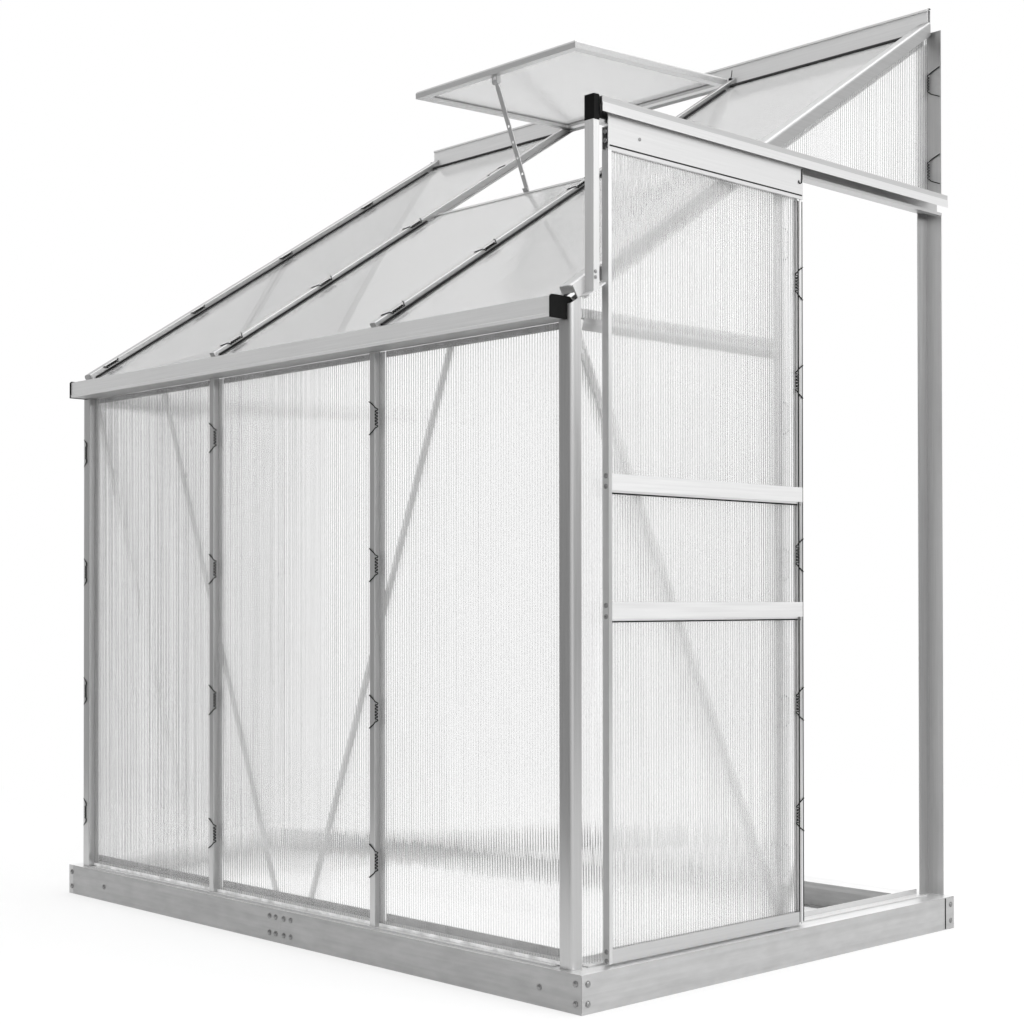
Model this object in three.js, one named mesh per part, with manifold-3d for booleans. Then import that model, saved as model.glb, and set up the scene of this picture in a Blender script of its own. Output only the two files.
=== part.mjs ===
// Lean-to greenhouse with a sliding door and a roof vent, in millimetres with Z up.
// The front with its gutter faces -Y, the house wall lies along +Y and the door end is +X.
import * as THREE from 'three';
import { mergeVertices } from 'three/addons/utils/BufferGeometryUtils.js';
import Module from 'manifold-3d';

const wasm = await Module();
wasm.setup();

// Clearances, the overlap of joined solids, cutting overrun and the steps of curves
const fit = 0.3;
const weld = 0.8;
const overrun = 6;
const sameVertex = 0.0003;
const cornerSteps = 5;
const circleSides = 20;
const rollerSides = 28;
const curveSteps = 8;
const eyeSteps = 12;
const holeSteps = 6;
const fullCircle = 360;

// Base frame of folded steel
const baseLength = 1920;
const baseDepth = 1276;
const baseHeight = 76;
const baseShelf = 78;
const baseShelfLip = 14;
const baseFoot = 25;
const baseSheet = 2;
const baseTab = 20;
const spliceLength = 100;

// Where the walls stand on the base
const endLedge = 42;
const frontLedge = 15;
const wallGap = 8;

// Sill extrusion
const sillWidth = 31;
const sillLip = 3;
const sillUpstand = 14;

// Glazing bars and twin-wall sheets
const barWall = 1.6;
const ridgeWidth = 17;
const ridgeHeight = 18;
const ridgeRound = 2.5;
const flangeWidth = 50;
const sheetThickness = 4;
const middleBayExtra = 12;

// Corner extrusion, used for the corner posts and the gable rafters
const cornerProud = 2.7;
const cornerWidth = 33;
const cornerDepth = 29;
const cornerRound = 8;
const cornerFlange = 17;

// Wall posts
const wallPostLeg = 40;
const wallPostReach = 20;

// Gable bars and rails
const railAboveEaves = 7;
const railUpstand = 20;
const railLedge = 12;
const railFace = 9;
const railDrop = 15;
const railTuck = 7;

// Gutter
const eavesHeight = 1325;
const gutterEndInset = 13;
const gutterDepth = 62;
const gutterHeight = 40;
const gutterTuck = 18;
const gutterSheet = 1.6;
const gutterBead = 6;
const gutterBeadDepth = 1.6;
const gutterHem = 6;
const gutterSeat = 15;
const capPlate = 3;
const capRim = 1.5;
const capFrontChamfer = 4;
const capBackChamfer = 9;
const capSpigot = 8;
const capSpigotWall = 2;
const capSpigotDrop = 10;

// Roof
const wallHeight = 2213;
const roofSetback = 14;
const roofLift = 7.2;
const sheetOverhang = 6;
const ridgeBarDepth = 13;
const ridgeBarHeight = 55;
const ridgeBarLift = 1.2;
const ridgeBarInset = 9;
const ridgeLipHeight = 5;
const ridgeLipReach = 2.5;

// Roof vent, its hinge and its crossbar
const ventSideGap = 10;
const ventReach = 588;
const ventOpen = 2.44;
const ventBar = 22;
const ventThickness = 20;
const ventWall = 1.8;
const ventRound = 7;
const ventMouth = 5.2;
const ventSheetGrip = 10;
const hingeStandOff = 7;
const hingeRise = 14.4;
const beadRadius = 3.2;
const beadNeck = 2;
const beadStem = 8;
const grooveClear = 0.6;
const grooveWall = 1.6;
const grooveMouthStart = 165;
const grooveMouthEnd = 230;
const crossbarLead = 16;
const crossbarCover = 17;
const crossbarShelf = 23;
const crossbarRise = 6.6;
const crossbarShelfRise = 0.4;
const crossbarWall = 2;

// Vent stay and its peg
const stayPivotReach = 568;
const stayPivotDrop = 25;
const stayPivotX = -5;
const stayFootX = 38;
const stayWidth = 14;
const stayNeck = 10;
const stayThickness = 2.5;
const stayEyeInner = 3;
const stayEyeOuter = 5.5;
const stayPin = 2.5;
const stayHole = 3.6;
const stayHoleFree = 100;
const stayHolePitch = 42;
const earThickness = 2;
const earWidth = 14;
const earDrop = 6;
const pegTabWidth = 18;
const pegTabHeight = 16;
const pegRadius = 2.2;
const pegReach = 7;
const pegTabSetback = 6;
const stayFootGap = 4.4;
const pegHeight = 9;
const pegNotchSide = 11;

// Braces
const braceWidth = 20;
const braceLeg = 12;
const braceTopInset = 370;
const braceFootX = 63;
const braceTopDrop = 12;
const braceFootRise = 6;
const braceGableInset = 37;

// Sliding door
const doorWidth = 620;
const doorOverlap = 30;
const doorFrontInset = 82.4;
const doorBottomGap = 4;
const doorHeadDrop = 39.5;
const doorThickness = 17;
const doorClear = 5;
const doorStileFace = 9;
const doorRearStileFace = 18;
const doorRearStileDepth = 15;
const doorRearGrooveInset = 7.5;
const doorRearGroove = 3.5;
const doorRearGrooveDepth = 2.4;
const doorWall = 1.6;
const doorMouth = 4.6;
const doorSheetInset = 3;
const doorSheetHold = 8;
const doorBottomRail = 27;
const doorTopBox = 46;
const doorBlade = 42;
const doorFascia = 20;
const doorFasciaSetback = 1.5;
const doorBladeWall = 2;
const doorUpperRail = 998;
const doorLowerRail = 748;
const doorMidRail = 32;
const doorMidLip = 4;
const doorMidEndInset = 4;
const rollerInset = 60;

// Track, rollers and strut
const trackDepth = 31;
const trackStandOff = 1;
const trackAbove = 9;
const trackHeight = 46;
const trackLip = 14;
const trackRail = 7;
const trackShelf = 15;
const trackWall = 1.6;
const trackLead = 27.4;
const trackPastWall = 7.5;
const headerUpstand = 20;
const headerRise = 6;
const rollerRadius = 14;
const rollerGroove = 12;
const rollerGrooveWidth = 2.8;
const rollerWidth = 5.4;
const rollerBore = 2.8;
const axleRadius = 2.4;
const axleHeadRadius = 4.6;
const axleHead = 1.4;
const strutWidth = 25;
const strutDepth = 17;
const strutRound = 2;
const strutPlateLength = 74;
const strutPlateRise = 20;
const strutSeatStart = 8;
const strutSeatLength = 54;
const strutSheet = 2;
const trackCapRise = 3;
const trackCapProud = 1.2;
const trackCapRound = 3;
const trackCapSpigot = 12;

// Places worked out from the sizes above
const cornerRise = ridgeHeight + cornerProud;
const rafterSide = cornerRise - cornerDepth;
const postFaceX = baseLength / 2 - endLedge;
const postFaceY = -(baseDepth / 2 - frontLedge);
const glassX = postFaceX - cornerRise;
const glassY = postFaceY + cornerRise;
const floorZ = baseHeight + fit + barWall + fit;
const studX = (postFaceX + middleBayExtra) / 3;
const halfRidge = ridgeWidth / 2;
const roofFootY = postFaceY + roofSetback;
const roofFootZ = eavesHeight + gutterHeight + roofLift;
const ridgeFrontY = baseDepth / 2 - wallGap - ridgeBarDepth;
const roofRise = wallHeight - ridgeBarHeight - ridgeBarLift - roofFootZ;
const slope = roofRise / (ridgeFrontY - roofFootY);
const pitch = Math.atan(slope);
const roofZ = (y, n = 0) => roofFootZ + slope * (y - roofFootY) + n / Math.cos(pitch);
const rafterEndY = ridgeFrontY - 2 * fit;
const rafterLength = (ridgeFrontY - roofFootY) / Math.cos(pitch) + ridgeHeight;
const sheetTop = (rafterEndY - fit - roofFootY) / Math.cos(pitch);
const wallPostBack = baseDepth / 2 - wallGap;
const gableBarY = wallPostBack - doorWidth + doorOverlap;
const railHeight = eavesHeight + railAboveEaves;
const gutterBack = -(postFaceY + gutterTuck);
const gutterLength = 2 * (postFaceX - gutterEndInset);
const ridgeBarLength = 2 * (postFaceX - ridgeBarInset);
const ventWidth = 2 * (studX - ventSideGap);
const braceTopX = postFaceX - braceTopInset;
const doorFrontRest = postFaceY + doorFrontInset;
const doorRearRest = doorFrontRest + doorWidth;
const doorBottom = baseHeight + doorBottomGap;
const trackFront = trackLead - doorFrontRest;
const trackBack = wallPostBack + trackPastWall;
const doorInnerX = postFaceX + doorClear;
const doorOuterX = doorInnerX + doorThickness;
const doorTop = roofZ(gableBarY) - doorHeadDrop;
const trackX = postFaceX + trackStandOff;
const trackTop = doorTop + trackAbove;
const trackBottom = trackTop - trackHeight;
const hingeY = ridgeFrontY - hingeStandOff;
const hingeZ = roofZ(hingeY) + hingeRise;
const hingeUp = (hingeY - roofFootY) * Math.cos(pitch) + (hingeZ - roofFootZ) * Math.sin(pitch);
const crossbarWeb = hingeUp - ventReach - crossbarLead;

const X = new THREE.Vector3(1, 0, 0);
const Y = new THREE.Vector3(0, 1, 0);
const Z = new THREE.Vector3(0, 0, 1);

// Materials
function material(colour, roughness, metalness) {
  return new THREE.MeshStandardMaterial({ color: colour, roughness, metalness });
}

const aluminium = () => material(0xc4c5c7, 0.38, 0.9);
const steel = () => material(0xb4b6b8, 0.45, 0.85);
const glazing = () => {
  const sheet = material(0xe9ecee, 0.35, 0);
  sheet.transparent = true;
  sheet.opacity = 0.75;
  return sheet;
};
const blackPlastic = () => material(0x141414, 0.5, 0);
const nylon = () => material(0x3a3a3a, 0.45, 0);

// Sections: a path of [x, y] or [x, y, radius] corners becomes points with rounded corners
function rounded(path) {
  const points = [];
  path.forEach(([x, y, radius], i) => {
    const corner = new THREE.Vector2(x, y);
    if (!radius) {
      points.push(corner);
      return;
    }
    const before = new THREE.Vector2(...path[(i + path.length - 1) % path.length].slice(0, 2)).sub(corner);
    const after = new THREE.Vector2(...path[(i + 1) % path.length].slice(0, 2)).sub(corner);
    before.normalize();
    after.normalize();
    const half = Math.acos(before.dot(after)) / 2;
    const centre = before.clone().add(after).normalize().multiplyScalar(radius / Math.sin(half)).add(corner);
    const start = before.multiplyScalar(radius / Math.tan(half)).add(corner).sub(centre);
    const end = after.multiplyScalar(radius / Math.tan(half)).add(corner).sub(centre);
    const turn = Math.atan2(start.cross(end), start.dot(end));
    for (let step = 0; step <= cornerSteps; step += 1) {
      points.push(start.clone().rotateAround(new THREE.Vector2(), (turn * step) / cornerSteps).add(centre));
    }
  });
  return points;
}

// A sheet section: the path is its outer face, and the metal lies on the right of the path
function strip(path, thickness, mirror = false) {
  const outer = rounded(path);
  const inner = outer.map((point, i) => {
    const into = outer[i].clone().sub(outer[Math.max(i - 1, 0)]);
    const out = outer[Math.min(i + 1, outer.length - 1)].clone().sub(outer[i]);
    const first = (into.length() ? into : out).clone().normalize();
    const second = (out.length() ? out : into).clone().normalize();
    const normal = new THREE.Vector2(first.y + second.y, -first.x - second.x);
    const scale = thickness / (1 + first.dot(second));
    return point.clone().add(normal.multiplyScalar(scale));
  });
  const outline = [...outer, ...inner.reverse()];
  return new THREE.Shape(mirror ? outline.map((p) => new THREE.Vector2(-p.x, p.y)).reverse() : outline);
}

// Solids and booleans
function toSolid(geometry) {
  const bare = geometry.index ? geometry.toNonIndexed() : geometry.clone();
  bare.deleteAttribute('normal');
  bare.deleteAttribute('uv');
  const merged = mergeVertices(bare, sameVertex);
  return new wasm.Manifold(new wasm.Mesh({
    numProp: 3,
    vertProperties: new Float32Array(merged.attributes.position.array),
    triVerts: new Uint32Array(merged.index.array),
  }));
}

function toGeometry(solid) {
  const mesh = solid.getMesh();
  const geometry = new THREE.BufferGeometry();
  geometry.setAttribute('position', new THREE.BufferAttribute(mesh.vertProperties, 3));
  geometry.setIndex(new THREE.BufferAttribute(mesh.triVerts, 1));
  geometry.computeVertexNormals();
  return geometry;
}

function placedSolid(mesh, into) {
  mesh.updateMatrix();
  return toSolid(mesh.geometry.clone().applyMatrix4(into.clone().multiply(mesh.matrix)));
}

// Cuts from a mesh, or joins to it, other meshes that stand in the same parent
function combine(mesh, others, method) {
  mesh.updateMatrix();
  const into = mesh.matrix.clone().invert();
  let solid = toSolid(mesh.geometry);
  for (const other of others) {
    solid = solid[method](placedSolid(other, into));
  }
  mesh.geometry = toGeometry(solid);
  return mesh;
}

const cut = (mesh, ...others) => combine(mesh, others, 'subtract');
const join = (mesh, ...others) => combine(mesh, others, 'add');

// Placing
function named(name, mesh) {
  mesh.name = name;
  return mesh;
}

// A box from its lowest corner to its highest corner
function block(low, high, finish) {
  const size = high.map((value, i) => value - low[i]);
  const mesh = new THREE.Mesh(new THREE.BoxGeometry(...size), finish);
  mesh.position.set(...low.map((value, i) => value + size[i] / 2));
  return mesh;
}

// An extruded bar: the section's y points outward, and the bar runs along the other direction
function bar(shape, length, start, outward, along, finish, curveSegments = curveSteps) {
  const geometry = new THREE.ExtrudeGeometry(shape, { depth: length, bevelEnabled: false, curveSegments });
  const mesh = new THREE.Mesh(geometry, finish);
  const across = outward.clone().cross(along);
  mesh.quaternion.setFromRotationMatrix(new THREE.Matrix4().makeBasis(across, outward, along));
  mesh.position.set(...start);
  return mesh;
}

// Mitres a bar's ends: each end recedes with the section's x, which points inward
function mitre(mesh, length, gap) {
  const position = mesh.geometry.attributes.position;
  for (let i = 0; i < position.count; i += 1) {
    const inward = position.getX(i);
    const atEnd = position.getZ(i) > length / 2;
    position.setZ(i, atEnd ? length - inward - gap : inward + gap);
  }
  return mesh;
}

function pin(radius, length, start, along) {
  const mesh = new THREE.Mesh(new THREE.CylinderGeometry(radius, radius, length, circleSides));
  mesh.quaternion.setFromUnitVectors(Y, along);
  mesh.position.set(...start).addScaledVector(along, length / 2);
  return mesh;
}

// Sections shared by several bars
const ridgeSection = strip([
  [-flangeWidth / 2, 0], [-halfRidge, 0], [-halfRidge, ridgeHeight, ridgeRound],
  [halfRidge, ridgeHeight, ridgeRound], [halfRidge, 0], [flangeWidth / 2, 0],
], barWall);

function cornerSection(mirror) {
  return strip([
    [cornerRise, -cornerDepth - cornerFlange], [cornerRise, -cornerDepth], [0, -cornerDepth],
    [0, 0, cornerRound], [cornerWidth, 0, ridgeRound], [cornerWidth, -cornerRise],
    [cornerWidth + cornerFlange, -cornerRise],
  ], barWall, mirror);
}

// Base frame
const baseSection = strip([
  [baseFoot, 0], [0, 0], [0, baseHeight], [baseShelf, baseHeight], [baseShelf, baseHeight - baseShelfLip],
], baseSheet);

function baseRail(start, along, length) {
  return mitre(bar(baseSection, length, start, Z, along, steel()), length, fit);
}

function baseFrame() {
  const x = baseLength / 2;
  const y = baseDepth / 2;
  const frontLeft = baseRail([-x, -y, 0], X, baseLength);
  const frontRight = baseRail([-x, -y, 0], X, baseLength);
  const right = baseRail([x, -y, 0], Y, baseDepth);
  const rear = baseRail([x, y, 0], X.clone().negate(), baseLength);
  const left = baseRail([-x, y, 0], Y.clone().negate(), baseDepth);
  cut(frontLeft,
    block([-fit / 2, -y - overrun, -overrun], [x + overrun, y, baseHeight + overrun]),
    block([-x - overrun, -y - overrun, -overrun],
      [-x + baseTab + fit, -y + baseSheet + fit, baseHeight + overrun]));
  cut(frontRight, block([-x - overrun, -y - overrun, -overrun], [fit / 2, y, baseHeight + overrun]));
  cut(right, block([x - baseSheet - fit, y - baseTab - fit, -overrun],
    [x + overrun, y + overrun, baseHeight + overrun]));
  join(left, block([-x, -y, 0], [-x + baseTab, -y + baseSheet, baseHeight]));
  join(rear, block([x - baseSheet, y - baseTab, 0], [x, y, baseHeight]));
  const spliceFront = -y + baseSheet + fit;
  const splice = block([-spliceLength / 2, spliceFront, baseSheet + fit],
    [spliceLength / 2, spliceFront + baseSheet, baseHeight - baseSheet - fit], steel());
  return [
    named('base_rail_front_left', frontLeft), named('base_rail_front_right', frontRight),
    named('base_rail_right', right), named('base_rail_rear', rear), named('base_rail_left', left),
    named('base_splice_front', splice),
  ];
}

// Sills, which the panels, posts and door stand on
const sillSection = strip([[sillWidth, sillUpstand], [sillWidth, 0], [0, 0], [0, sillLip]], barWall);

function sills() {
  const z = baseHeight + fit;
  const gap = cornerWidth + cornerFlange + fit;
  const frontHalf = postFaceX - gap;
  const front = bar(sillSection, 2 * frontHalf, [-frontHalf, postFaceY, z], Z, X, aluminium());
  const sideStart = postFaceY + cornerDepth + cornerFlange + fit;
  const sideEnd = wallPostBack - wallPostLeg - fit;
  const sideLength = sideEnd - sideStart;
  const right = bar(sillSection, sideLength, [postFaceX, sideStart, z], Z, Y, aluminium());
  const left = bar(sillSection, sideLength, [-postFaceX, sideEnd, z], Z, Y.clone().negate(), aluminium());
  return [named('sill_front', front), named('sill_right', right), named('sill_left', left)];
}

// A slab in the house's frame that lies above the line n over the roof's glazing plane
function aboveRoof(n) {
  const size = baseLength + baseDepth;
  const slab = new THREE.Mesh(new THREE.BoxGeometry(size, size, size));
  slab.rotation.x = pitch;
  const normal = new THREE.Vector3(0, -Math.sin(pitch), Math.cos(pitch));
  slab.position.set(0, roofFootY, roofFootZ).addScaledVector(normal, n + size / 2);
  return slab;
}

// Posts and studs
function cornerPost(side) {
  const section = cornerSection(side < 0);
  const height = roofZ(postFaceY + cornerDepth + cornerFlange) - baseHeight - fit;
  const post = bar(section, height, [side * postFaceX, postFaceY, baseHeight + fit],
    Y.clone().negate(), Z, aluminium());
  const inner = postFaceX - cornerWidth - cornerFlange - overrun;
  const outer = gutterLength / 2 + capPlate + 2 * fit;
  const low = [Math.min(side * inner, side * outer), postFaceY - overrun, eavesHeight - capRim - fit];
  const high = [Math.max(side * inner, side * outer), -gutterBack + fit, roofFootZ + overrun];
  return cut(post, aboveRoof(rafterSide - fit), block(low, high));
}

function wallPost(side) {
  const section = strip([
    [wallPostLeg, -barWall], [0, -barWall], [0, wallPostReach + cornerRise],
  ], barWall, side < 0);
  const height = roofZ(ridgeFrontY) + ridgeBarLift - 2 * fit - baseHeight;
  const post = bar(section, height, [side * glassX, wallPostBack, baseHeight + fit],
    X.clone().multiplyScalar(side), Z, aluminium());
  const legFront = wallPostBack - wallPostLeg - overrun;
  const legBack = wallPostBack - barWall - fit;
  const underRafter = combine(block([-baseLength, legFront, 0], [baseLength, legBack, roofZ(baseDepth)]),
    [aboveRoof(rafterSide - cornerFlange - fit)], 'intersect');
  cut(post, underRafter);
  if (side > 0) {
    cut(post, block([trackX - fit, legBack - overrun, trackBottom - fit],
      [trackX + trackDepth + overrun, wallPostBack + overrun, trackTop + fit]));
  }
  return post;
}

function studs() {
  const height = eavesHeight - 2 * fit - floorZ;
  return [-1, 1].map((side) => bar(ridgeSection, height, [side * studX, glassY, floorZ],
    Y.clone().negate(), Z, aluminium()));
}

function gableBar(side) {
  const outward = X.clone().multiplyScalar(side);
  const height = roofZ(gableBarY + flangeWidth) - floorZ;
  const post = bar(ridgeSection, height, [side * glassX, gableBarY, floorZ], outward, Z, aluminium());
  return cut(post, aboveRoof(rafterSide - cornerFlange - fit));
}

// The drip rail between the lower and the upper front sheet of a gable
function gableRail(side) {
  const section = strip([
    [-railFace - railDrop, railTuck], [-railFace, railLedge], [0, railLedge], [0, 0], [railUpstand, 0],
  ], barWall, side < 0);
  const start = postFaceY + cornerDepth + cornerFlange + fit;
  const end = gableBarY - flangeWidth / 2 - fit;
  return bar(section, end - start, [side * glassX, start, railHeight],
    X.clone().multiplyScalar(side), Y, aluminium());
}

function posts() {
  const [studLeft, studRight] = studs();
  return [
    named('corner_post_left', cornerPost(-1)), named('corner_post_right', cornerPost(1)),
    named('wall_post_left', wallPost(-1)), named('wall_post_right', wallPost(1)),
    named('stud_front_left', studLeft), named('stud_front_right', studRight),
    named('gable_stud_left', gableBar(-1)), named('door_post', gableBar(1)),
    named('gable_rail_left', gableRail(-1)), named('gable_rail_right', gableRail(1)),
  ];
}

// Gutter, drawn in the house's Y and Z, with the seat that carries the rafters' feet
function gutter() {
  const back = -gutterBack;
  const front = back - gutterDepth;
  const top = eavesHeight + gutterHeight;
  const seatDepth = barWall + fit + gutterSheet;
  const section = strip([
    [back + gutterSeat, roofZ(back + gutterSeat, -seatDepth)], [back, roofZ(back, -seatDepth)],
    [back, eavesHeight], [front, eavesHeight], [front, eavesHeight + gutterBead],
    [front + gutterBeadDepth, eavesHeight + gutterBead + gutterBeadDepth],
    [front + gutterBeadDepth, top], [front + gutterHem, top],
  ], gutterSheet);
  const trough = bar(section, gutterLength, [-gutterLength / 2, 0, 0], Z, X, aluminium());
  const clear = postFaceX - cornerWidth - fit;
  const rafterEnds = [-1, 1].map((side) => fromRoof(block(
    [Math.min(side * clear, side * postFaceX), -fit, rafterSide - fit],
    [Math.max(side * clear, side * postFaceX), baseDepth / 2, cornerRise])));
  return cut(trough, ...rafterEnds);
}

function gutterCap(side) {
  const back = -gutterBack - fit;
  const front = -gutterBack - gutterDepth - capRim;
  const low = eavesHeight - capRim;
  const high = eavesHeight + gutterHeight + gutterBeadDepth + capRim;
  const outline = new THREE.Shape([
    [front, low], [back, low], [back, high - capBackChamfer], [back - capBackChamfer, high],
    [front + capFrontChamfer, high], [front, high - capFrontChamfer],
  ].map(([x, y]) => new THREE.Vector2(x, y)));
  const inner = gutterLength / 2 + fit;
  const start = side > 0 ? inner : -inner - capPlate;
  const plate = bar(outline, capPlate, [start, 0, 0], Z, X, blackPlastic());
  const lining = gutterSheet + fit;
  const spigotTop = eavesHeight + gutterHeight - capSpigotDrop;
  const spigotFront = -gutterBack - gutterDepth + gutterBeadDepth + lining;
  const spigot = strip([
    [-gutterBack - lining, spigotTop], [-gutterBack - lining, eavesHeight + lining],
    [spigotFront, eavesHeight + lining], [spigotFront, spigotTop],
  ], capSpigotWall);
  const spigotLength = capSpigot + fit + weld;
  const spigotStart = side > 0 ? gutterLength / 2 - capSpigot : -inner - weld;
  return join(plate, bar(spigot, spigotLength, [spigotStart, 0, 0], Z, X));
}

// The roof's own frame: X along the house, Y up the slope and Z out of the glazing plane
const roofFrame = new THREE.Matrix4().makeRotationX(pitch).setPosition(0, roofFootY, roofFootZ);

function fromRoof(mesh) {
  mesh.applyMatrix4(roofFrame);
  return mesh;
}

function toRoof(mesh) {
  mesh.applyMatrix4(roofFrame.clone().invert());
  return mesh;
}

function roofBars() {
  const wallSide = () => toRoof(block([-baseLength, rafterEndY, 0],
    [baseLength, baseDepth, 2 * roofZ(baseDepth)]));
  const middle = [-1, 1].map((side) => cut(
    bar(ridgeSection, rafterLength, [side * studX, 0, 0], Z, Y, aluminium()), wallSide()));
  const notchEnd = (cornerDepth + cornerFlange - roofSetback + fit) / Math.cos(pitch);
  const gable = [-1, 1].map((side) => {
    const rafter = bar(cornerSection(side < 0), rafterLength, [side * postFaceX, 0, cornerRise],
      Z, Y, aluminium());
    const inner = glassX - barWall - fit;
    const outer = glassX + fit;
    return cut(rafter, wallSide(), block(
      [Math.min(side * inner, side * outer), -overrun, rafterSide - cornerFlange - overrun],
      [Math.max(side * inner, side * outer), notchEnd, rafterSide]));
  });
  return [
    named('rafter_gable_left', gable[0]), named('rafter_mid_left', middle[0]),
    named('rafter_mid_right', middle[1]), named('rafter_gable_right', gable[1]),
  ];
}

// The bar that carries the vent's front edge, with the folded tab and peg for the stay
function ventCrossbar() {
  const half = studX - halfRidge - fit;
  const shelfEnd = crossbarWeb + crossbarShelf;
  const section = strip([
    [crossbarWeb - crossbarCover, crossbarRise], [crossbarWeb, crossbarRise],
    [crossbarWeb, crossbarShelfRise], [shelfEnd, crossbarShelfRise],
  ], crossbarWall);
  const crossbar = bar(section, 2 * half, [-half, 0, 0], Z, X, aluminium());
  const flangeEdge = studX - flangeWidth / 2 - fit;
  const flangeCuts = [-1, 1].map((side) => block(
    [Math.min(side * flangeEdge, side * studX), crossbarWeb - crossbarWall - fit, -overrun],
    [Math.max(side * flangeEdge, side * studX), shelfEnd + overrun, crossbarRise - crossbarWall]));
  const tabBack = crossbarWeb + pegTabSetback;
  const notch = block([stayFootX - pegNotchSide, tabBack, -overrun],
    [stayFootX + pegNotchSide, shelfEnd + overrun, crossbarRise]);
  const tab = block([stayFootX - pegTabWidth / 2, tabBack - crossbarWall, crossbarShelfRise - crossbarWall],
    [stayFootX + pegTabWidth / 2, tabBack, pegTabHeight]);
  cut(crossbar, ...flangeCuts, notch);
  return join(crossbar, tab, pin(pegRadius, pegReach + weld, [stayFootX, tabBack - weld, pegHeight], Y));
}

function roofSheets() {
  const edge = postFaceX - cornerWidth - fit;
  const inner = studX + halfRidge + fit;
  const middle = studX - halfRidge - fit;
  const underVent = crossbarWeb - crossbarWall - fit;
  const spans = [
    ['roof_sheet_left', -edge, -inner, sheetTop], ['roof_sheet_middle', -middle, middle, underVent],
    ['roof_sheet_right', inner, edge, sheetTop],
  ];
  return spans.map(([name, from, to, up]) => named(name,
    block([from, -sheetOverhang, fit], [to, up, fit + sheetThickness], glazing())));
}

function roof() {
  const group = new THREE.Group();
  group.add(...roofBars(), named('vent_crossbar', ventCrossbar()), ...roofSheets());
  group.applyMatrix4(roofFrame);
  return group;
}

// Ridge bar against the house wall, with the rolled groove that the vent hangs in
function ridgeBar() {
  const bottom = roofZ(ridgeFrontY) + ridgeBarLift;
  const top = bottom + ridgeBarHeight;
  const back = ridgeFrontY + ridgeBarDepth;
  const section = strip([
    [ridgeFrontY, bottom], [ridgeFrontY, top - ridgeLipHeight],
    [ridgeFrontY - ridgeLipReach, top - ridgeLipHeight], [ridgeFrontY - ridgeLipReach, top],
    [back, top], [back, bottom],
  ], barWall);
  const ridge = bar(section, ridgeBarLength, [-ridgeBarLength / 2, 0, 0], Z, X, aluminium());
  const half = ventWidth / 2 - fit;
  const inner = beadRadius + grooveClear;
  const outer = inner + grooveWall;
  const from = THREE.MathUtils.degToRad(grooveMouthEnd);
  const to = THREE.MathUtils.degToRad(grooveMouthStart + fullCircle);
  const ring = new THREE.Shape();
  ring.absarc(hingeY, hingeZ, outer, from, to, false);
  ring.absarc(hingeY, hingeZ, inner, to, from, true);
  const groove = bar(ring, 2 * half, [-half, 0, 0], Z, X, undefined, circleSides);
  const bridge = block([-half, hingeY + inner + grooveWall / 2, hingeZ - inner],
    [half, ridgeFrontY + barWall / 2, hingeZ + inner]);
  return join(ridge, groove, bridge);
}

// A section swept round a rectangle with mitred corners: its x points inward and its y up
function frameSweep(shape, low, high, finish) {
  const points = shape.extractPoints(curveSteps).shape;
  const corners = [[0, 0], [1, 0], [1, 1], [0, 1]];
  const positions = corners.flatMap(([i, j]) => points.flatMap((p) => [
    i ? high[0] - p.x : low[0] + p.x, j ? high[1] - p.x : low[1] + p.x, low[2] + p.y,
  ]));
  const indices = [];
  const count = points.length;
  const clockwise = THREE.ShapeUtils.isClockWise(points);
  for (let side = 0; side < corners.length; side += 1) {
    for (let i = 0; i < count; i += 1) {
      const a = side * count + i;
      const b = side * count + ((i + 1) % count);
      const c = ((side + 1) % corners.length) * count + i;
      const d = ((side + 1) % corners.length) * count + ((i + 1) % count);
      indices.push(...(clockwise ? [a, d, b, a, c, d] : [a, b, d, a, d, c]));
    }
  }
  const geometry = new THREE.BufferGeometry();
  geometry.setAttribute('position', new THREE.Float32BufferAttribute(positions, 3));
  geometry.setIndex(indices);
  geometry.computeVertexNormals();
  return new THREE.Mesh(geometry, finish);
}

// The vent's frame: X along the hinge, -Y towards its front edge, with the hinge axis at the origin
const ventFrameMatrix = new THREE.Matrix4().makeRotationX(THREE.MathUtils.degToRad(ventOpen))
  .setPosition(0, hingeY, hingeZ);

function ventFrame() {
  const lip = (ventThickness - ventMouth) / 2;
  const section = strip([
    [ventBar, lip], [ventBar, 0], [0, 0], [0, ventThickness, ventRound],
    [ventBar, ventThickness], [ventBar, ventThickness - lip],
  ], ventWall);
  const half = ventThickness / 2;
  const frame = frameSweep(section, [-ventWidth / 2, -ventReach, -half],
    [ventWidth / 2, -beadStem, half], aluminium());
  const beadHalf = ventWidth / 2 - ventBar / 2;
  const bead = pin(beadRadius, 2 * beadHalf, [-beadHalf, 0, 0], X);
  const neck = block([-beadHalf, -beadStem - weld, -beadNeck / 2], [beadHalf, 0, beadNeck / 2]);
  const ears = [-1, 1].map((side) => {
    const outline = new THREE.Shape(rounded([
      [-stayPivotReach - earWidth / 2, weld - half],
      [-stayPivotReach - earWidth / 2, -stayPivotDrop - earDrop, earDrop],
      [-stayPivotReach + earWidth / 2, -stayPivotDrop - earDrop, earDrop],
      [-stayPivotReach + earWidth / 2, weld - half],
    ]));
    const inside = stayPivotX + side * (stayWidth / 2 + fit) - (side < 0 ? earThickness : 0);
    return bar(outline, earThickness, [inside, 0, 0], Z, X);
  });
  const pinHalf = stayWidth / 2 + fit + earThickness / 2;
  const pivot = pin(stayPin, 2 * pinHalf, [stayPivotX - pinHalf, -stayPivotReach, -stayPivotDrop], X);
  return join(frame, bead, neck, ...ears, pivot);
}

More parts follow.
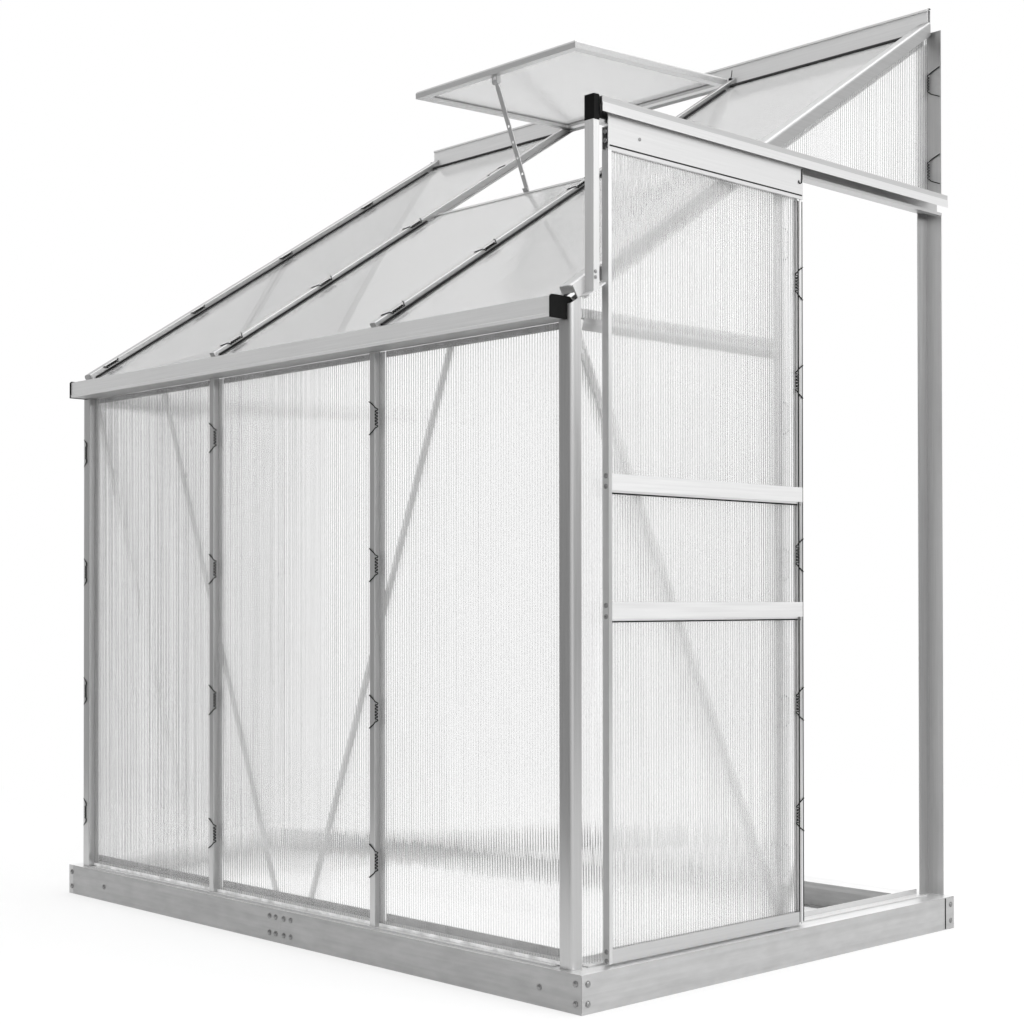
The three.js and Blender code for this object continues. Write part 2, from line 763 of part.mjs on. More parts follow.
function ventSheet() {
  const inset = ventBar - ventSheetGrip;
  return block([-ventWidth / 2 + inset, -ventReach + inset, -sheetThickness / 2],
    [ventWidth / 2 - inset, -beadStem - inset, sheetThickness / 2], glazing());
}

// The stay: a rolled eye on the vent's pin and a flat arm with a row of holes, down to the peg
function stayArm() {
  const foot = new THREE.Vector3(stayFootX, crossbarWeb + pegTabSetback + stayFootGap, pegHeight);
  foot.applyMatrix4(roofFrame).applyMatrix4(ventFrameMatrix.clone().invert());
  const pivot = new THREE.Vector3(stayPivotX, -stayPivotReach, -stayPivotDrop);
  const reach = foot.sub(pivot);
  const length = reach.length();
  const eyeRing = new THREE.Shape();
  eyeRing.absarc(0, 0, stayEyeOuter, 0, 2 * Math.PI, false);
  eyeRing.holes.push(new THREE.Path().absarc(0, 0, stayEyeInner, 0, 2 * Math.PI, true));
  const eye = bar(eyeRing, stayWidth, [-stayWidth / 2, 0, 0], Z, X, aluminium(), eyeSteps);
  const side = stayWidth / 2;
  const outline = new THREE.Shape();
  outline.moveTo(-stayNeck / 2, weld - stayEyeOuter);
  outline.lineTo(-stayNeck / 2, -stayNeck);
  outline.lineTo(-side, -stayWidth);
  outline.lineTo(-side, -length);
  outline.absarc(0, -length, side, Math.PI, 2 * Math.PI, false);
  outline.lineTo(side, -stayWidth);
  outline.lineTo(stayNeck / 2, -stayNeck);
  outline.lineTo(stayNeck / 2, weld - stayEyeOuter);
  for (let centre = -length; centre < -stayHoleFree; centre += stayHolePitch) {
    outline.holes.push(new THREE.Path().absarc(0, centre, stayHole, 0, 2 * Math.PI, true));
  }
  const arm = bar(outline, stayThickness, [0, stayThickness / 2, 0],
    Z, Y.clone().negate(), undefined, holeSteps);
  arm.applyMatrix4(new THREE.Matrix4().makeRotationY(-Math.asin(reach.x / length)));
  const stay = join(eye, arm);
  stay.applyMatrix4(new THREE.Matrix4().makeRotationX(Math.atan2(reach.y, -reach.z)));
  stay.position.add(pivot);
  return stay;
}

function vent() {
  const group = new THREE.Group().add(
    named('vent_frame', ventFrame()), named('vent_sheet', ventSheet()), named('vent_stay', stayArm()));
  group.applyMatrix4(ventFrameMatrix);
  return group;
}

// Wall sheets
function frontSheets() {
  const back = glassY - fit;
  const front = back - sheetThickness;
  const low = floorZ;
  const high = eavesHeight - 2 * fit;
  const edge = postFaceX - cornerWidth - fit;
  const spans = [
    ['front_sheet_left', -edge, -studX - halfRidge - fit],
    ['front_sheet_middle', -studX + halfRidge + fit, studX - halfRidge - fit],
    ['front_sheet_right', studX + halfRidge + fit, edge],
  ];
  return spans.map(([name, from, to]) => named(name,
    block([from, front, low], [to, back, high], glazing())));
}

// A gable sheet with a level foot and a head that follows the roof, or level at the given height
function gableSheet(side, from, to, low, high) {
  const head = (y) => high ?? roofZ(y, rafterSide - fit);
  const outline = new THREE.Shape([
    [from, low], [to, low], [to, head(to)], [from, head(from)],
  ].map(([y, z]) => new THREE.Vector2(y, z)));
  const start = side > 0 ? glassX + fit : -glassX - fit - sheetThickness;
  return bar(outline, sheetThickness, [start, 0, 0], Z, X, glazing());
}

function gableSheets() {
  const front = postFaceY + cornerDepth + fit;
  const barFront = gableBarY - halfRidge - fit;
  const barBack = gableBarY + halfRidge + fit;
  const back = wallPostBack - barWall - fit;
  const railLow = railHeight - barWall - fit;
  const railHigh = railHeight + fit;
  return [
    named('gable_sheet_left_lower', gableSheet(-1, front, barFront, floorZ, railLow)),
    named('gable_sheet_left_upper', gableSheet(-1, front, barFront, railHigh)),
    named('gable_sheet_left_rear', gableSheet(-1, barBack, back, floorZ)),
    named('gable_sheet_right_lower', gableSheet(1, front, barFront, floorZ, railLow)),
    named('gable_sheet_right_upper', gableSheet(1, front, barFront, railHigh)),
    named('gable_sheet_over_door', gableSheet(1, barBack, back, trackBottom + headerRise + fit)),
  ];
}

// Braces: an angle from one point to another, with its flat side outward
function brace(from, to, outward) {
  const section = strip([
    [-braceWidth / 2, 0], [braceWidth / 2, 0], [braceWidth / 2, -braceLeg],
  ], barWall);
  const start = new THREE.Vector3(...from);
  const along = new THREE.Vector3(...to).sub(start);
  const length = along.length();
  return bar(section, length, from, outward, along.normalize(), aluminium());
}

function braces() {
  const high = eavesHeight - braceTopDrop;
  const low = baseHeight + fit + sillUpstand + braceFootRise;
  const y = glassY + barWall + fit;
  const x = glassX - barWall - fit;
  const top = postFaceY + braceGableInset;
  const front = Y.clone().negate();
  const gable = (side) => brace([side * x, gableBarY - braceWidth / 2, low], [side * x, top, high],
    X.clone().multiplyScalar(side));
  return [
    named('brace_front_left', brace([-braceFootX, y, low], [-braceTopX, y, high], front)),
    named('brace_front_right', brace([braceFootX, y, low], [braceTopX, y, high], front)),
    named('brace_gable_left', gable(-1)), named('brace_gable_right', gable(1)),
  ];
}

// Track with its roller rail, the header behind it, the strut under its free end and the end cap
function track() {
  const section = strip([
    [trackHeight - trackLip, trackDepth], [trackHeight, trackDepth], [trackHeight, 0], [0, 0],
    [0, trackShelf], [trackRail, trackShelf],
  ], trackWall);
  return bar(section, trackFront + trackBack, [trackX, -trackFront, trackBottom], X, Y, aluminium());
}

function doorHeader() {
  const section = strip([[0, trackX - glassX - fit], [0, 0], [headerUpstand, 0]], barWall);
  const start = gableBarY + flangeWidth / 2 + fit;
  const end = wallPostBack - wallPostLeg - fit;
  return bar(section, end - start, [glassX, start, trackBottom + headerRise], X, Y, aluminium());
}

function rectangle(width, depth, radius) {
  return rounded([
    [-width / 2, -depth / 2, radius], [width / 2, -depth / 2, radius],
    [width / 2, depth / 2, radius], [-width / 2, depth / 2, radius],
  ]);
}

const strutX = postFaceX + fit + strutWidth / 2;
const strutY = -trackFront - fit - strutDepth / 2;

function trackStrut() {
  const section = new THREE.Shape(rectangle(strutWidth, strutDepth, strutRound));
  const hollow = rectangle(strutWidth - 2 * barWall, strutDepth - 2 * barWall);
  section.holes.push(new THREE.Path(hollow.reverse()));
  const strut = bar(section, trackBottom - fit - eavesHeight, [strutX, strutY, eavesHeight],
    Y, Z, aluminium());
  const belowSeat = aboveRoof(0);
  belowSeat.position.addScaledVector(new THREE.Vector3(0, Math.sin(pitch), -Math.cos(pitch)),
    baseLength + baseDepth - rafterSide);
  cut(strut, belowSeat);
  const inner = postFaceX + fit;
  const plate = fromRoof(block([inner, 0, rafterSide],
    [inner + strutSheet, strutPlateLength, strutPlateRise]));
  const seat = fromRoof(block([inner, strutSeatStart, rafterSide - strutSheet],
    [inner + strutWidth, strutSeatStart + strutSeatLength, rafterSide + weld]));
  return join(strut, plate, seat);
}

function trackCap() {
  const outline = new THREE.Shape(rectangle(strutWidth + 2 * trackCapProud, strutDepth, trackCapRound));
  const height = trackHeight + trackCapRise;
  const cap = bar(outline, height, [strutX, strutY, trackBottom], Y, Z, blackPlastic());
  const lining = barWall + fit;
  const spigot = bar(new THREE.Shape(rectangle(strutWidth - 2 * lining, strutDepth - 2 * lining)),
    trackCapSpigot + weld, [strutX, strutY, trackBottom - trackCapSpigot], Y, Z);
  const plug = block([trackX + lining, strutY, trackBottom + lining],
    [trackX + trackShelf - lining, -trackFront + trackCapSpigot, trackTop - lining]);
  return join(cap, spigot, plug);
}

// Door leaf: stiles and rails are channels that grip the sheet's edges
function doorChannel(width, mirror) {
  const lip = (doorThickness - doorMouth) / 2;
  return strip([
    [width, lip], [width, 0], [0, 0], [0, doorThickness],
    [width, doorThickness], [width, doorThickness - lip],
  ], doorWall, mirror);
}

// The rear stile is a wider channel, set back behind the middle rails, with a groove down its face
function doorRearChannel() {
  const lip = (doorThickness - doorMouth) / 2;
  const face = doorRearStileDepth;
  const grooveEnd = doorRearGrooveInset + doorRearGroove;
  return strip([
    [doorRearStileFace, lip], [doorRearStileFace, 0], [0, 0], [0, face],
    [doorRearGrooveInset, face], [doorRearGrooveInset, face - doorRearGrooveDepth],
    [grooveEnd, face - doorRearGrooveDepth], [grooveEnd, face],
    [doorRearStileFace, face], [doorRearStileFace, doorThickness - lip],
  ], doorWall);
}

const doorTopFoot = doorTop - doorBlade - doorTopBox;
const rollerX = trackX + trackShelf - trackWall / 2;
const rollerZ = trackBottom + trackRail + fit + rollerGroove;

function doorFrame() {
  const stileHeight = doorTopFoot - fit - doorBottom;
  const railStart = doorFrontRest + doorStileFace + fit;
  const railEnd = doorRearRest - doorRearStileFace - fit;
  const midLength = doorRearRest - doorMidEndInset - railStart;
  const front = bar(doorChannel(doorStileFace, true), stileHeight,
    [doorInnerX, doorFrontRest, doorBottom], X, Z, aluminium());
  const rear = bar(doorRearChannel(), stileHeight,
    [doorInnerX, doorRearRest, doorBottom], X, Z, aluminium());
  const bottom = bar(doorChannel(doorBottomRail, false), railEnd - railStart,
    [doorInnerX, railStart, doorBottom], X, Y, aluminium());
  const backOfRail = (doorThickness + sheetThickness) / 2 + fit;
  const midSection = strip([
    [-doorMidLip, backOfRail + doorWall], [0, backOfRail + doorWall], [0, doorThickness],
    [doorMidRail, doorThickness], [doorMidRail, backOfRail],
  ], doorWall);
  const overStile = block([doorInnerX - overrun, railEnd, doorBottom],
    [doorInnerX + doorRearStileDepth + fit, doorRearRest + overrun, doorTop]);
  const mid = (z) => {
    const rail = bar(midSection, midLength, [doorInnerX, railStart, z], X, Y, aluminium());
    return cut(rail, overStile);
  };
  return [
    named('door_stile_front', front), named('door_stile_rear', rear), named('door_rail_bottom', bottom),
    named('door_rail_lower', mid(doorLowerRail)), named('door_rail_upper', mid(doorUpperRail)),
    named('door_rail_top', doorTopRail()),
  ];
}

function doorTopRail() {
  const lip = (doorThickness - doorMouth) / 2;
  const box = strip([
    [0, doorThickness - lip], [0, doorThickness], [doorTopBox, doorThickness],
    [doorTopBox, 0], [0, 0], [0, lip],
  ], doorWall);
  const step = doorTopBox + doorBlade - doorFascia;
  const blade = strip([
    [doorTopBox - weld, doorThickness], [step, doorThickness], [step, doorThickness - doorFasciaSetback],
    [doorTopBox + doorBlade, doorThickness - doorFasciaSetback],
  ], doorBladeWall);
  const start = [doorInnerX, doorFrontRest, doorTopFoot];
  const rail = bar(box, doorWidth, start, X, Y, aluminium());
  const bladeBack = doorOuterX - doorFasciaSetback - doorBladeWall;
  const headX = rollerX - rollerWidth / 2 - fit - axleHead;
  const axles = rollerPlaces().flatMap((y) => [
    pin(axleRadius, bladeBack + weld - headX, [headX, y, rollerZ], X),
    pin(axleHeadRadius, axleHead, [headX, y, rollerZ], X),
  ]);
  return join(rail, bar(blade, doorWidth, start, X, Y), ...axles);
}

function rollerPlaces() {
  return [doorFrontRest + rollerInset, doorRearRest - rollerInset];
}

// A roller with a groove that runs on the track's rail
function rollers() {
  const half = rollerWidth / 2;
  const groove = rollerGrooveWidth / 2;
  const profile = [
    [rollerBore, -half], [rollerRadius, -half], [rollerRadius, -groove], [rollerGroove, -groove],
    [rollerGroove, groove], [rollerRadius, groove], [rollerRadius, half], [rollerBore, half],
    [rollerBore, -half],
  ].map(([radius, height]) => new THREE.Vector2(radius, height));
  return rollerPlaces().map((y, i) => {
    const roller = new THREE.Mesh(new THREE.LatheGeometry(profile, rollerSides), nylon());
    roller.rotation.z = -Math.PI / 2;
    roller.position.set(rollerX, y, rollerZ);
    return named(['door_roller_front', 'door_roller_rear'][i], roller);
  });
}

function doorSheet() {
  const inner = doorInnerX + (doorThickness - sheetThickness) / 2;
  return block(
    [inner, doorFrontRest + doorSheetInset, doorBottom + doorBottomRail - doorSheetHold],
    [inner + sheetThickness, doorRearRest - doorSheetInset, doorTopFoot + doorSheetHold], glazing());
}

function door() {
  return [...doorFrame(), ...rollers(), named('door_sheet', doorSheet())];
}

function eaves() {
  return [
    named('gutter', gutter()), named('gutter_cap_left', gutterCap(-1)),
    named('gutter_cap_right', gutterCap(1)), named('ridge_bar', ridgeBar()),
  ];
}

function doorGear() {
  return [
    named('door_track', track()), named('door_header', doorHeader()),
    named('track_strut', trackStrut()), named('track_end_cap', trackCap()),
  ];
}

// The whole house, moved so that the origin is under the middle of its overall box
const house = new THREE.Group();
house.add(...baseFrame(), ...sills(), ...posts(), ...eaves(), roof(), vent());
house.add(...frontSheets(), ...gableSheets(), ...braces(), ...doorGear(), ...door());
house.position.y = (gutterBack + gutterDepth + capRim - baseDepth / 2) / 2;

export default house;
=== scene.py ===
"""Looks of a lean-to greenhouse: sheets, bolts, wire clips, seals and finishes round its CAD frame.

The front with its gutter faces -Y, the house wall lies along +Y and the door end is +X.
Lengths are in metres.
"""
import math

import bmesh
import bpy
from mathutils import Matrix, Vector


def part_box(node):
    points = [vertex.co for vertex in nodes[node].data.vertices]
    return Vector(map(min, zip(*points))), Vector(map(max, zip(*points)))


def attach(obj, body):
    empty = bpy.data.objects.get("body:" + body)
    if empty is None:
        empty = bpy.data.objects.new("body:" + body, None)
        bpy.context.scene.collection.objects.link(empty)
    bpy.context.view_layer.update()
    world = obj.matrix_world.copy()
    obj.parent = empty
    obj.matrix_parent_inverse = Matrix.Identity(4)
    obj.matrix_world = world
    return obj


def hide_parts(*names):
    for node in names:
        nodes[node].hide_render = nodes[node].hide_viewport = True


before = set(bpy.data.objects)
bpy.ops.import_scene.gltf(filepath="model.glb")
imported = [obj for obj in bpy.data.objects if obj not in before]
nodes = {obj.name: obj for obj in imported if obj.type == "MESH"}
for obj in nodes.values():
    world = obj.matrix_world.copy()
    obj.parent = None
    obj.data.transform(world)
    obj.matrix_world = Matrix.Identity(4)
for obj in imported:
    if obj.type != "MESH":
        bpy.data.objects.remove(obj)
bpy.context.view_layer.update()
scene = bpy.context.scene

X = Vector((1, 0, 0))
Y = Vector((0, 1, 0))
Z = Vector((0, 0, 1))

# The photograph's camera
CAMERA_PLACE = Vector((3.24244, -2.97021, 0.78241))
CAMERA_YAW = math.radians(46.485)
CAMERA_PITCH = math.radians(0.566)
CAMERA_ROLL = math.radians(-0.051)
FOCAL_PX = 1731.295
HORIZON_PX = 584.044
PICTURE_PX = 1024
SENSOR = 36.0

# Sections that the sheets, clips and seals fit
SHEET_FACE = 0.0044
RIDGE_RISE = 0.018
RIDGE_HALF = 0.0085
CORNER_RISE = 0.0207
STEEL = 0.002
WALL = 0.0016
PLATE_GAP = 0.0003

# The roof's plane, from its foot up to the ridge, and where the vent begins on it
ROOF_FOOT = Vector((0, -0.59375, 1.3722))
ROOF_SLOPE = 0.639967
ROOF_PITCH = math.atan(ROOF_SLOPE)
UP_ROOF = Vector((0, math.cos(ROOF_PITCH), math.sin(ROOF_PITCH)))
OUT_ROOF = Vector((0, -math.sin(ROOF_PITCH), math.cos(ROOF_PITCH)))
VENT_EDGE = 0.800
RAFTERS = ("gable_left", "mid_left", "mid_right", "gable_right")

# The twin-wall sheets
SKIN = 0.0004
RIB = 0.0005
WALL_PITCH = 0.0075
TOUCH = 0.0001
UPRIGHT = 0.1
LAYERS = 3
RIB_LAYER = 1

# Glazing clips of bent wire
CLIP_LENGTH = 0.072
CLIP_ARM = 0.011
CLIP_HOLD = 0.002
CLIP_WIRE = 0.0013
CLIP_WAVES = 5
CLIP_WAVE_HALF = 0.0175

# Bolts: the head's curve is in shares of the head's radius and rise
BOLT_HEAD = 0.0056
BOLT_RISE = 0.0036
BOLT_SHANK = 0.003
HEAD_CURVE = ((0.95, 0.5), (0.7, 0.85), (0.35, 1), (0, 1))
WASHER_SHARE = 1.2
WASHER_HEIGHT = 0.0009
NUT_RADIUS = 0.0055
NUT_HEIGHT = 0.0045
SHANK_SHARE = 1.6
HEXAGON = 6

# Fineness of the meshes
LATHE_SIDES = 18
WIRE_SIDES = 6
CORNER_CUT = 0.25
CHAMFER = 0.0004
BAR_SHARP = 30
SHEET_SHARP = 20


# Mesh helpers
def add_piece(name, work, materials, body="frame", sharp=BAR_SHARP):
    """Turns the work mesh into a named piece that rides on a body."""
    bmesh.ops.recalc_face_normals(work, faces=work.faces)
    mesh = bpy.data.meshes.new(name)
    work.to_mesh(mesh)
    work.free()
    for material in materials:
        mesh.materials.append(material)
    mesh.shade_smooth()
    mesh.set_sharp_from_angle(angle=math.radians(sharp))
    piece = bpy.data.objects.new(name, mesh)
    scene.collection.objects.link(piece)
    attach(piece, body)
    return piece


def skin_between(work, first, last):
    """Joins two rings of vertices; a ring of one vertex is a tip."""
    first_count, last_count = len(first), len(last)
    count = max(first_count, last_count)
    for i in range(count):
        j = (i + 1) % count
        corners = [first[i % first_count], first[j % first_count]]
        corners += [last[j % last_count], last[i % last_count]]
        unlike = [corner for k, corner in enumerate(corners) if corner not in corners[:k]]
        if len(unlike) > 2:
            work.faces.new(unlike)


def prism(work, outline, start, across, rise, along):
    """Extrudes a closed outline of (across, rise) points along a vector."""
    first = [work.verts.new(start + across * a + rise * b) for a, b in outline]
    last = [work.verts.new(vertex.co + along) for vertex in first]
    work.faces.new(first[::-1])
    work.faces.new(last)
    skin_between(work, first, last)


def strip(work, low, high, along, chamfer=CHAMFER):
    """A straight strip between two corners, with its long edges chamfered."""
    size = Vector(high) - Vector(low)
    across, rise = [axis for axis in (X, Y, Z) if axis is not along]
    w, h, c = size.dot(across), size.dot(rise), chamfer
    outline = [(c, 0), (w - c, 0), (w, c), (w, h - c), (w - c, h), (c, h), (0, h - c), (0, c)]
    prism(work, outline, Vector(low), across, rise, along * size.dot(along))


def circle(work, centre, across, rise, radius, sides):
    """A ring of vertices, or a single one where the radius is nought."""
    ring = []
    for i in range(sides if radius > 0 else 1):
        angle = 2 * math.pi * i / sides
        outward = across * math.cos(angle) + rise * math.sin(angle)
        ring.append(work.verts.new(centre + outward * radius))
    return ring


def lathe(work, profile, place, axis, sides=LATHE_SIDES):
    """A turned form: the profile runs from axis to axis as (radius, height) along the axis."""
    across = axis.orthogonal().normalized()
    rise = axis.cross(across)
    rings = [circle(work, place + axis * height, across, rise, radius, sides)
             for radius, height in profile]
    for first, last in zip(rings, rings[1:]):
        skin_between(work, first, last)


def tube(work, points, radius, sides=WIRE_SIDES):
    """A round wire along the points, closed at both ends."""
    rings = []
    across = None
    for i, point in enumerate(points):
        ahead = points[min(i + 1, len(points) - 1)] - points[max(i - 1, 0)]
        ahead.normalize()
        across = ahead.orthogonal() if across is None else across - ahead * across.dot(ahead)
        across.normalize()
        rings.append(circle(work, point, across, ahead.cross(across), radius, sides))
    for first, last in zip(rings, rings[1:]):
        skin_between(work, first, last)
    work.faces.new(rings[0][::-1])
    work.faces.new(rings[-1])


def cut_corners(points):
    """Eases the bends of an open line by cutting each corner near its ends."""
    eased = [points[0]]
    for a, b in zip(points, points[1:]):
        eased += [a.lerp(b, CORNER_CUT), a.lerp(b, 1 - CORNER_CUT)]
    return eased + [points[-1]]


# Materials
WHITE = (1.0, 1.0, 1.0)
NOISE_LOW = 0.3
NOISE_HIGH = 0.7
LINE_STRETCH = 0.02
CLOUD_STRETCH = 0.3
LINE_DETAIL = 5.0
GRAIN_STRENGTH = 0.2
GRAIN_DEPTH = 0.0002
SLOPE_START = 0.6
SLOPE_FULL = 0.95
# Painted highlight along the metals' edges
EDGE_HIGHLIGHT_REACH = 0.0008
EDGE_HIGHLIGHT_LIFT = 0.10
EDGE_HIGHLIGHT_TURN = 0.8
METAL_ROUGHNESS_SPREAD = 0.05
MOULDED_ROUGHNESS_SPREAD = 0.07
MOULDED_SHADE_SPREAD = 0.25
MOULDED_GRAIN = 700.0
MOULDED_CLOUDS = 40.0
GLOSS_TURN = 0.25


class Finish:
    """A short way to write a material's nodes."""

    def __init__(self, name):
        self.material = bpy.data.materials.new(name)
        self.material.use_nodes = True
        self.tree = self.material.node_tree
        self.tree.nodes.clear()

    def node(self, kind, links=None, settings=None, **values):
        made = self.tree.nodes.new(kind)
        for key, value in (settings or {}).items():
            setattr(made, key, value)
        for key, value in values.items():
            made.inputs[key.replace("_", " ")].default_value = value
        for key, source in (links or {}).items():
            self.tree.links.new(source, made.inputs[key])
        return made

    def math(self, operation, first, second=None):
        links = {0: first} if second is None else {0: first, 1: second}
        return self.node("ShaderNodeMath", links, {"operation": operation}).outputs[0]

    def sum(self, first, second):
        return self.math("ADD", first, second)

    def noise(self, scale, stretch=(1, 1, 1), detail=3.0):
        place = self.node("ShaderNodeTexCoord").outputs["Object"]
        mapped = self.node("ShaderNodeMapping", {"Vector": place}, Scale=stretch)
        links = {"Vector": mapped.outputs[0]}
        return self.node("ShaderNodeTexNoise", links, Scale=scale, Detail=detail).outputs[0]

    def ramp(self, source, low, high, start=NOISE_LOW, end=NOISE_HIGH):
        made = self.node("ShaderNodeMapRange", {"Value": source}, From_Min=start, From_Max=end,
                         To_Min=low, To_Max=high)
        return made.outputs[0]

    def tinted(self, value, tint=WHITE):
        made = self.node("ShaderNodeVectorMath", {"Scale": value}, {"operation": "SCALE"})
        made.inputs[0].default_value = tint
        return made.outputs[0]

    def mix(self, share, first, second):
        """A mix of two shaders by a socket's value."""
        links = {0: share, 1: first.outputs[0], 2: second.outputs[0]}
        return self.node("ShaderNodeMixShader", links)

    def grain(self, fine):
        links = {"Height": fine}
        made = self.node("ShaderNodeBump", links, Strength=GRAIN_STRENGTH, Distance=GRAIN_DEPTH)
        return made.outputs[0]

    def painted_edge_highlight(self):
        """Painted highlight: lighter near an edge, where the rounded normal turns away from the
        face's own.
        """
        rounded = self.node("ShaderNodeBevel", settings={"samples": 4}, Radius=EDGE_HIGHLIGHT_REACH)
        shape = self.node("ShaderNodeNewGeometry")
        links = {0: rounded.outputs[0], 1: shape.outputs["Normal"]}
        turn = self.node("ShaderNodeVectorMath", links, {"operation": "DOT_PRODUCT"})
        return self.ramp(turn.outputs["Value"], EDGE_HIGHLIGHT_LIFT, 0.0, EDGE_HIGHLIGHT_TURN, 1.0)

    def painted_slope_light_and_shade(self, top, under):
        """Painted light on faces that look up, and painted shade on those that look down."""
        normal = self.node("ShaderNodeNewGeometry").outputs["Normal"]
        height = self.node("ShaderNodeSeparateXYZ", {"Vector": normal}).outputs["Z"]
        painted_top_light = self.ramp(height, 0.0, top, SLOPE_START, SLOPE_FULL)
        return self.sum(painted_top_light, self.ramp(height, under, 0.0, -SLOPE_FULL, -SLOPE_START))

    def done(self, shader):
        self.node("ShaderNodeOutputMaterial", {"Surface": shader.outputs[0]})
        return self.material


# top adds painted light to upward faces and under adds painted shade to downward faces
def drawn_metal(name, level, spread, roughness, grain, lines, metallic=0.9, anisotropic=0.7,
                top=0.0, under=0.0, cloud_scale=3.0, cloud_share=0.6):
    """Metal with fine lines along the bar, which spread its gloss across them."""
    finish = Finish(name)
    stretch = [LINE_STRETCH if along else 1.0 for along in lines]
    fine = finish.noise(grain, stretch, LINE_DETAIL)
    clouds = finish.noise(cloud_scale, [CLOUD_STRETCH if along else 1.0 for along in lines])
    base = finish.ramp(fine, level - spread, level + spread)
    cloudy = finish.ramp(clouds, -spread * cloud_share, spread * cloud_share)
    # the shade takes a painted highlight along the edges
    shade = finish.sum(finish.sum(base, cloudy), finish.painted_edge_highlight())
    # painted light on the top faces and painted shade on the undersides
    if top or under:
        shade = finish.sum(shade, finish.painted_slope_light_and_shade(top, under))
    dullest = roughness + METAL_ROUGHNESS_SPREAD
    links = {
        "Base Color": finish.tinted(shade),
        "Roughness": finish.ramp(fine, roughness - METAL_ROUGHNESS_SPREAD, dullest),
        "Normal": finish.grain(fine),
    }
    values = {"Metallic": metallic}
    if any(lines):
        x, y, z = [float(line) for line in lines]
        links["Tangent"] = finish.node("ShaderNodeCombineXYZ", X=x, Y=y, Z=z).outputs[0]
        values |= {"Anisotropic": anisotropic, "Anisotropic_Rotation": GLOSS_TURN}
    return finish.done(finish.node("ShaderNodeBsdfPrincipled", links, **values))


def moulded(name, level, roughness, specular=0.2):
    """Moulded plastic or rubber with a fine grain."""
    finish = Finish(name)
    fine = finish.noise(MOULDED_GRAIN)
    clouds = finish.noise(MOULDED_CLOUDS)
    darkest = level * (1 - MOULDED_SHADE_SPREAD)
    lightest = level * (1 + MOULDED_SHADE_SPREAD)
    dullest = roughness + MOULDED_ROUGHNESS_SPREAD
    links = {
        "Base Color": finish.tinted(finish.ramp(clouds, darkest, lightest)),
        "Roughness": finish.ramp(fine, roughness - MOULDED_ROUGHNESS_SPREAD, dullest),
        "Normal": finish.grain(fine),
    }
    return finish.done(finish.node("ShaderNodeBsdfPrincipled", links, Specular_IOR_Level=specular))


# The sheets' optics: a rib lies where the wave across the flutes comes near one
STREAK_SCALE = (1.7, 0.004, 1.0)
STREAK_DETAIL = 2.0
RIB_EDGE = 0.6
VEIL_LEVEL = 0.98
VEIL_SPREAD = 0.02
VEIL_CLOUDS = 7.0
BOTH_SIDES = 0.5
PLASTIC_IOR = 1.5
CLEAR_ROUGHNESS = 0.02
GLOSS_ROUGHNESS = 0.12
LIGHT_PASSED = (0.99, 0.99, 0.99, 1)


def flute_waves(finish, tilt, streak):
    """The normal, leaning sideways between ribs, and a wave that is one at the ribs."""
    place = finish.node("ShaderNodeUVMap").outputs[0]
    parts = finish.node("ShaderNodeSeparateXYZ", {"Vector": place})
    turn = finish.node("ShaderNodeMath", {0: parts.outputs["X"]}, {"operation": "MULTIPLY"})
    turn.inputs[1].default_value = 2 * math.pi
    sine = finish.math("SINE", turn.outputs[0])
    cosine = finish.math("COSINE", turn.outputs[0])
    lines = finish.node("ShaderNodeMapping", {"Vector": place}, Scale=STREAK_SCALE)
    noise = finish.node("ShaderNodeTexNoise", {"Vector": lines.outputs[0]}, Scale=1.0,
                        Detail=STREAK_DETAIL)
    streaks = finish.ramp(noise.outputs[0], -streak, streak)
    lean = finish.sum(finish.ramp(sine, -tilt, tilt, -1.0, 1.0), streaks)
    sideways = finish.node("ShaderNodeTangent", settings={"direction_type": "UV_MAP"})
    links = {0: sideways.outputs[0], "Scale": lean}
    leaning = finish.node("ShaderNodeVectorMath", links, {"operation": "SCALE"})
    shape = finish.node("ShaderNodeNewGeometry")
    links = {0: shape.outputs["Normal"], 1: leaning.outputs[0]}
    added = finish.node("ShaderNodeVectorMath", links, {"operation": "ADD"})
    normal = finish.node("ShaderNodeVectorMath", {0: added.outputs[0]}, {"operation": "NORMALIZE"})
    return normal.outputs[0], cosine


def veil(finish, wave=None, rib_shade_level=VEIL_LEVEL):
    """White scattering to both sides, with painted shade on the ribs where a wave gives their
    places.
    """
    clouds = finish.noise(VEIL_CLOUDS)
    shade = finish.ramp(clouds, VEIL_LEVEL - VEIL_SPREAD, VEIL_LEVEL + VEIL_SPREAD)
    if wave:
        # painted shade: the veil is darker over the ribs
        shade = finish.sum(shade, finish.ramp(wave, 0.0, rib_shade_level - VEIL_LEVEL, RIB_EDGE, 1.0))
    colour = finish.tinted(shade)
    near = finish.node("ShaderNodeBsdfDiffuse", {"Color": colour})
    far = finish.node("ShaderNodeBsdfTranslucent", {"Color": colour})
    links = {1: near.outputs[0], 2: far.outputs[0]}
    return finish.node("ShaderNodeMixShader", links, Fac=BOTH_SIDES)


def let_light_through(finish, shader):
    """Lets light for shadows and diffuse surfaces pass straight, and bends only what is seen."""
    path = finish.node("ShaderNodeLightPath")
    links = {0: path.outputs["Is Shadow Ray"], 1: path.outputs["Is Diffuse Ray"]}
    settings = {"operation": "ADD", "use_clamp": True}
    lighting = finish.node("ShaderNodeMath", links, settings)
    straight = finish.node("ShaderNodeBsdfTransparent", Color=LIGHT_PASSED)
    return finish.mix(lighting.outputs[0], shader, straight)


